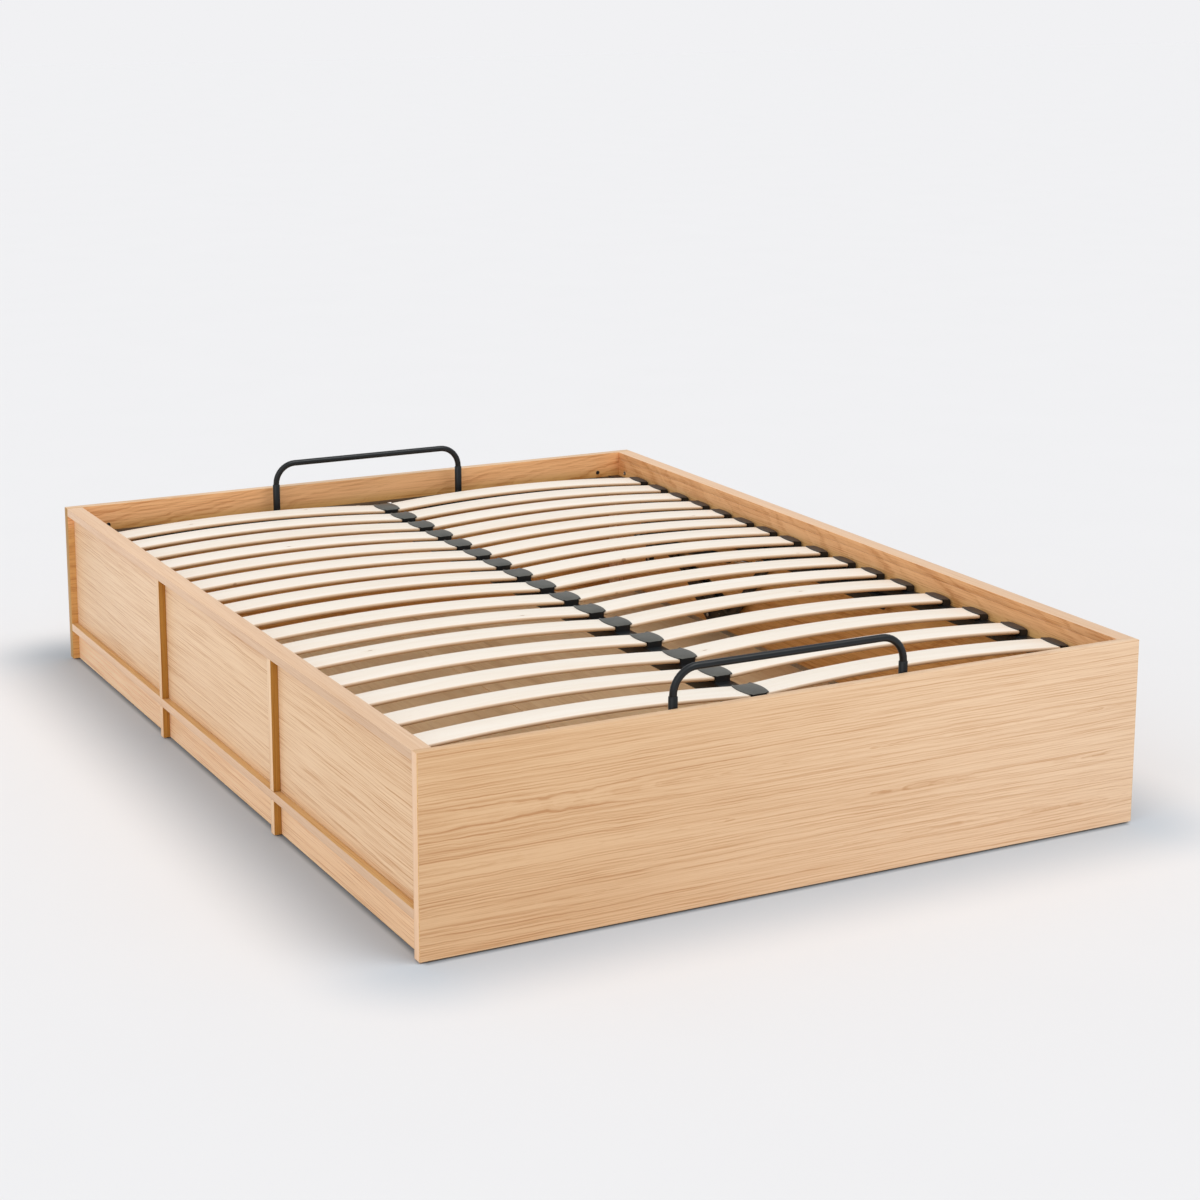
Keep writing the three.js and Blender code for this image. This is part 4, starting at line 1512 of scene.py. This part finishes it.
@dataclass
class LiftMechanism:
    """The plates, levers, links and gas springs behind each side."""

    finishes: Finishes
    lever_pivot: Flat = (0.407, 0.065)
    spring_anchor: Flat = (0.828, 0.180)
    spring_stud: Flat = (0.240, 0.235)
    plate_screws: Profile = ((0.467, 0.065), (0.467, 0.085), (0.525, 0.046), (0.559, 0.130))
    anchor_screws: Profile = ((0.828, 0.145), (0.828, 0.122))
    screw_face: float = 0.702
    screw: Profile = ((0.0, 0.0), (0.0048, 0.0), (0.0042, 0.0007), (0.0024, 0.0011), (0.0019, 0.0003), (0.0, 0.0003))
    pin_head: Flat = (0.0052, 0.0022)
    spring_x: float = 0.6723
    eye_width: float = 0.010
    eye_edge: float = 0.0008
    cylinder_eye: Flat = (0.0053, 0.012)
    rod_eye: Flat = (0.008, 0.013)
    cylinder: Profile = (
        (0.0, 0.010),
        (0.006, 0.010),
        (0.006, 0.0195),
        (0.0095, 0.020),
        (0.011, 0.0215),
        (0.011, 0.4430),
        (0.0104, 0.4445),
        (0.0104, 0.4475),
        (0.011, 0.4490),
        (0.011, 0.4535),
        (0.0095, 0.455),
        (0.0056, 0.455),
        (0.0056, 0.447),
        (0.009, 0.447),
        (0.009, 0.030),
        (0.0, 0.030),
    )
    piston_back: float = 0.260
    piston: Profile = ((0.0, 0.0), (0.0084, 0.0), (0.0084, 0.012), (0.005, 0.012))
    nut_back: float = 0.034
    nut: Profile = (
        (0.005, 0.0),
        (0.0065, 0.0),
        (0.0065, 0.017),
        (0.0058, 0.018),
        (0.0046, 0.018),
        (0.0046, 0.024),
        (0.0, 0.024),
    )
    edge: float = 0.0004

    def _steel(self, side: Side) -> None:
        """Rounds the edges of the flat steel parts.

        Args:
            side: Their side of the bed.
        """
        parts = (
            ("hinge_plate", Body.BOX),
            ("spring_anchor", Body.BOX),
            ("lift_lever", Body.LEVERS),
            ("rear_link", Body.LINKS),
            ("base_bracket", Body.BASE),
        )
        for part, body in parts:
            node = f"{part}_{side.label}"
            draft = Draft()
            draft.eased(node, self.edge)
            draft.piece(f"{node}_eased", body, Slot.BLACK_STEEL, [self.finishes.black], [node])

    def _bolts(self, side: Side) -> None:
        """Sets zinc heads on the pins and screws.

        Args:
            side: Their side of the bed.
        """
        inwards = Vector((-side.value, 0, 0))
        fixed = Draft()
        carried = Draft()
        heads = (
            (fixed, "hinge_plate", self.lever_pivot),
            (fixed, "spring_anchor", self.spring_anchor),
            (carried, "lift_lever", self.spring_stud),
        )
        for draft, part, at in heads:
            face = min(abs(corner.x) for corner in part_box(f"{part}_{side.label}"))
            draft.hex_bolt(self.pin_head, (side.value * face, *at), inwards)
        for at in self.plate_screws + self.anchor_screws:
            fixed.turned(self.screw, (side.value * self.screw_face, *at), inwards, sides=20)
        fixed.piece(f"plate_bolts_{side.label}", Body.BOX, Slot.ZINC_STEEL, [self.finishes.zinc])
        carried.piece(f"lever_bolt_{side.label}", Body.LEVERS, Slot.ZINC_STEEL, [self.finishes.zinc])

    def _eye(self, draft: Draft, at: Vector, hole: float, rim: float) -> None:
        """Turns a spring's eye with rounded rims.

        Args:
            draft: The draft that takes it.
            at: Its middle.
            hole: The hole's radius.
            rim: The outer radius.
        """
        half = self.eye_width / 2
        edge = self.eye_edge
        ring = [(hole, -half), (rim - edge, -half), (rim, -half + edge)]
        ring += [(rim, half - edge), (rim - edge, half), (hole, half), (hole, -half)]
        draft.turned(ring, at, Vector((1, 0, 0)), finish=1, sides=28)

    def _spring(self, side: Side) -> None:
        """Turns one gas spring: a crimped cylinder and a polished rod with its piston, each with an eye.

        Args:
            side: Its side of the bed.
        """
        start = Vector((side.value * self.spring_x, *self.spring_anchor))
        end = Vector((side.value * self.spring_x, *self.spring_stud))
        along = end - start
        rod = [(radius, along.length - self.piston_back + height) for radius, height in self.piston]
        rod += [(radius, along.length - self.nut_back + height) for radius, height in self.nut]
        black, chrome = self.finishes.black, self.finishes.chrome
        halves = (
            ("gas_cylinder", Body.CYLINDERS, Slot.BLACK_STEEL, black, self.cylinder, start, self.cylinder_eye),
            ("gas_rod", Body.RODS, Slot.CHROME, chrome, rod, end, self.rod_eye),
        )
        for part, body, slot, finish, profile, eye_at, eye in halves:
            node = f"{part}_{side.label}"
            draft = Draft()
            draft.turned(profile, start, along, sides=32)
            self._eye(draft, eye_at, *eye)
            draft.piece(f"{node}_turned", body, slot, [finish, self.finishes.zinc], [node])

    def build(self) -> None:
        """Builds both sides of the lift."""
        for side in Side:
            self._steel(side)
            self._bolts(side)
            self._spring(side)


# Fasteners


@dataclass
class Fittings:
    """The bolts and sockets that show on the inner faces of the boards."""

    finishes: Finishes
    board_x: float = 0.648
    board_z: float = 0.317
    panel_y: float = 0.969
    panel_z: float = 0.316
    socket: Profile = (
        (0.0, 0.0),
        (0.0056, 0.0),
        (0.0056, 0.0007),
        (0.0048, 0.0011),
        (0.0030, 0.0011),
        (0.0026, 0.0004),
        (0.0, 0.0004),
    )
    hub: Profile = ((0.0, 0.0), (0.0025, 0.0), (0.0025, 0.0006), (0.0, 0.0006))
    ring: Profile = ((0.0, 0.0), (0.0050, 0.0), (0.0046, 0.0012), (0.0022, 0.0014), (0.0018, 0.0006), (0.0, 0.0006))

    def build(self) -> None:
        """Builds the fittings in all four corners."""
        draft = Draft()
        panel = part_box("side_panel_right")[0].x
        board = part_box("head_board")[0].y
        for side in Side:
            for end in End:
                at = (side.value * panel, end.value * self.panel_y, self.panel_z)
                inwards = Vector((-side.value, 0, 0))
                draft.turned(self.socket, at, inwards, sides=20)
                draft.turned(self.hub, at, inwards, finish=1, sides=12)
                at = (side.value * self.board_x, end.value * board, self.board_z)
                draft.turned(self.ring, at, Vector((0, -end.value, 0)), finish=1, sides=18)
        draft.piece("corner_fittings", Body.BOX, Slot.ZINC_STEEL, [self.finishes.zinc, self.finishes.saddle])


# The studio


@dataclass(frozen=True)
class Sun:
    """A distant soft light: its strength, its angle in degrees, and the direction that it shines in."""

    name: str
    energy: float
    spread: float
    towards: tuple[float, float, float]


@dataclass
class Studio:
    """The pale floor, the soft light and the camera."""

    backdrop: Colour = srgb(241, 241, 243)
    ground: Colour = srgb(243, 242, 243)
    dust: Interval = (0.92, 0.935)
    dust_scale: float = 3.0
    matt: float = 0.9
    # A painted shadow on the floor round the bed, and a darker painted crease along its foot.
    painted_contact_shadow: Colour = (0.655, 0.72, 0.78)
    painted_shadow_reach: float = 0.27
    crease: Colour = (0.5, 0.52, 0.53)
    painted_crease_reach: float = 0.014
    end_falloff: float = 1.15
    eye: tuple[float, float, float] = (-2.2851, -4.5974, 1.6512)
    yaw: float = 27.696
    pitch: float = 11.86
    roll: float = 0.108
    lens: float = 75.03
    sensor: float = 36.0
    shift: float = -0.1083
    farthest: float = 200.0
    ambient: float = 0.61
    sky: Colour = (0.98, 1.0, 1.015)
    suns: tuple[Sun, ...] = (
        Sun("key_light", 1.12, 34.0, (-0.36, 0.46, -1.12)),
        Sun("fill_light", 0.75, 60.0, (0.8, 0.5, -0.7)),
    )
    reach: float = 30.0

    def _floor_finish(self) -> bpy.types.Material:
        """Builds the floor's matt paint, with a painted shadow round where the bed stands on it, seen by the camera
        only.

        Returns:
            The material.
        """
        paint = Paint("studio_floor")
        x, y, _ = paint.place()
        low, high = (tuple(c * share for c in self.ground) for share in self.dust)
        clean = paint.blend(paint.noise((x * self.dust_scale, y * self.dust_scale, 0.0)), low, high)
        beside = (abs(x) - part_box("side_panel_right")[1].x).math("MAXIMUM", 0.0)
        beyond = (abs(y) - CAD_BOX[1][1]).math("MAXIMUM", 0.0)
        # Painted shadow: seen by the camera only, the floor darkens near the bed, and darker still in a thin crease
        # along it.
        away = (beside * beside + beyond * beyond * self.end_falloff) ** 0.5
        seen = paint.signal("ShaderNodeLightPath", output="Is Camera Ray")
        shaded = paint.blend(seen * away.step(self.painted_shadow_reach, 0.0), clean, self.painted_contact_shadow, Blend.STAIN)
        shaded = paint.blend(seen * away.step(self.painted_crease_reach, 0.0), shaded, self.crease, Blend.STAIN)
        return paint.surface(shaded, self.matt, Specular_IOR_Level=0.0)

    def _floor(self) -> None:
        """Lays the floor, which isn't part of the bed."""
        part = bmesh.new()
        for x, y in ((-1, -1), (1, -1), (1, 1), (-1, 1)):
            part.verts.new((x * self.reach, y * self.reach, 0.0))
        part.faces.new(part.verts[:])
        mesh = bpy.data.meshes.new("studio_floor")
        part.to_mesh(mesh)
        part.free()
        mesh.materials.append(self._floor_finish())
        floor = placed("studio_floor", mesh)

    def _world(self) -> None:
        """Fills the room with even light, and shows the backdrop's colour behind the bed."""
        world = bpy.data.worlds.new("studio_world")
        nodes = NodeTree(world)
        seen = nodes.signal("ShaderNodeLightPath", output="Is Camera Ray")
        light, backdrop = (
            nodes.signal("ShaderNodeBackground", None, {"Color": (*colour, 1.0), "Strength": strength})
            for colour, strength in ((self.sky, self.ambient), (self.backdrop, 1.0))
        )
        mix = nodes.signal("ShaderNodeMixShader", None, {0: seen, 1: light, 2: backdrop})
        nodes.node("ShaderNodeOutputWorld", None, {"Surface": mix})
        bpy.context.scene.world = world

    @staticmethod
    def _hang(sun: Sun) -> None:
        """Hangs one light.

        Args:
            sun: The light.
        """
        data = bpy.data.lights.new(sun.name, "SUN")
        data.energy = sun.energy
        data.angle = math.radians(sun.spread)
        lamp = placed(sun.name, data)
        lamp.rotation_mode = "QUATERNION"
        lamp.rotation_quaternion = Vector(sun.towards).to_track_quat("-Z", "Y")

    def _camera(self) -> None:
        """Stands the camera where the photograph was taken from."""
        yaw, pitch, roll = (math.radians(a) for a in (self.yaw, self.pitch, self.roll))
        ahead = Vector((math.sin(yaw) * math.cos(pitch), math.cos(yaw) * math.cos(pitch), -math.sin(pitch)))
        level = Vector((math.cos(yaw), -math.sin(yaw), 0.0))
        top = level.cross(ahead)
        right = level * math.cos(roll) + top * math.sin(roll)
        up = top * math.cos(roll) - level * math.sin(roll)
        data = bpy.data.cameras.new("studio_camera")
        data.lens = self.lens
        data.sensor_width = self.sensor
        data.shift_y = self.shift
        data.clip_end = self.farthest
        camera = placed("studio_camera", data)
        camera.matrix_world = Matrix.Translation(self.eye) @ Matrix((right, up, -ahead)).transposed().to_4x4()
        bpy.context.scene.camera = camera

    def build(self) -> None:
        """Sets up the whole studio."""
        bpy.context.scene.view_settings.view_transform = "Standard"
        self._camera()
        self._floor()
        self._world()
        for sun in self.suns:
            self._hang(sun)


def main() -> None:
    """Builds the studio and the bed, piece by piece."""
    logging.basicConfig(level=logging.INFO, format="%(name)s: %(message)s")
    Studio().build()
    finishes = Finishes()
    for part in (OakBox, StorageFloor, BaseFrame, SlatRows, MattressArches, LiftMechanism, Fittings):
        log.info("building %s", part.__name__)
        part(finishes).build()


if __name__ == "__main__":
    main()
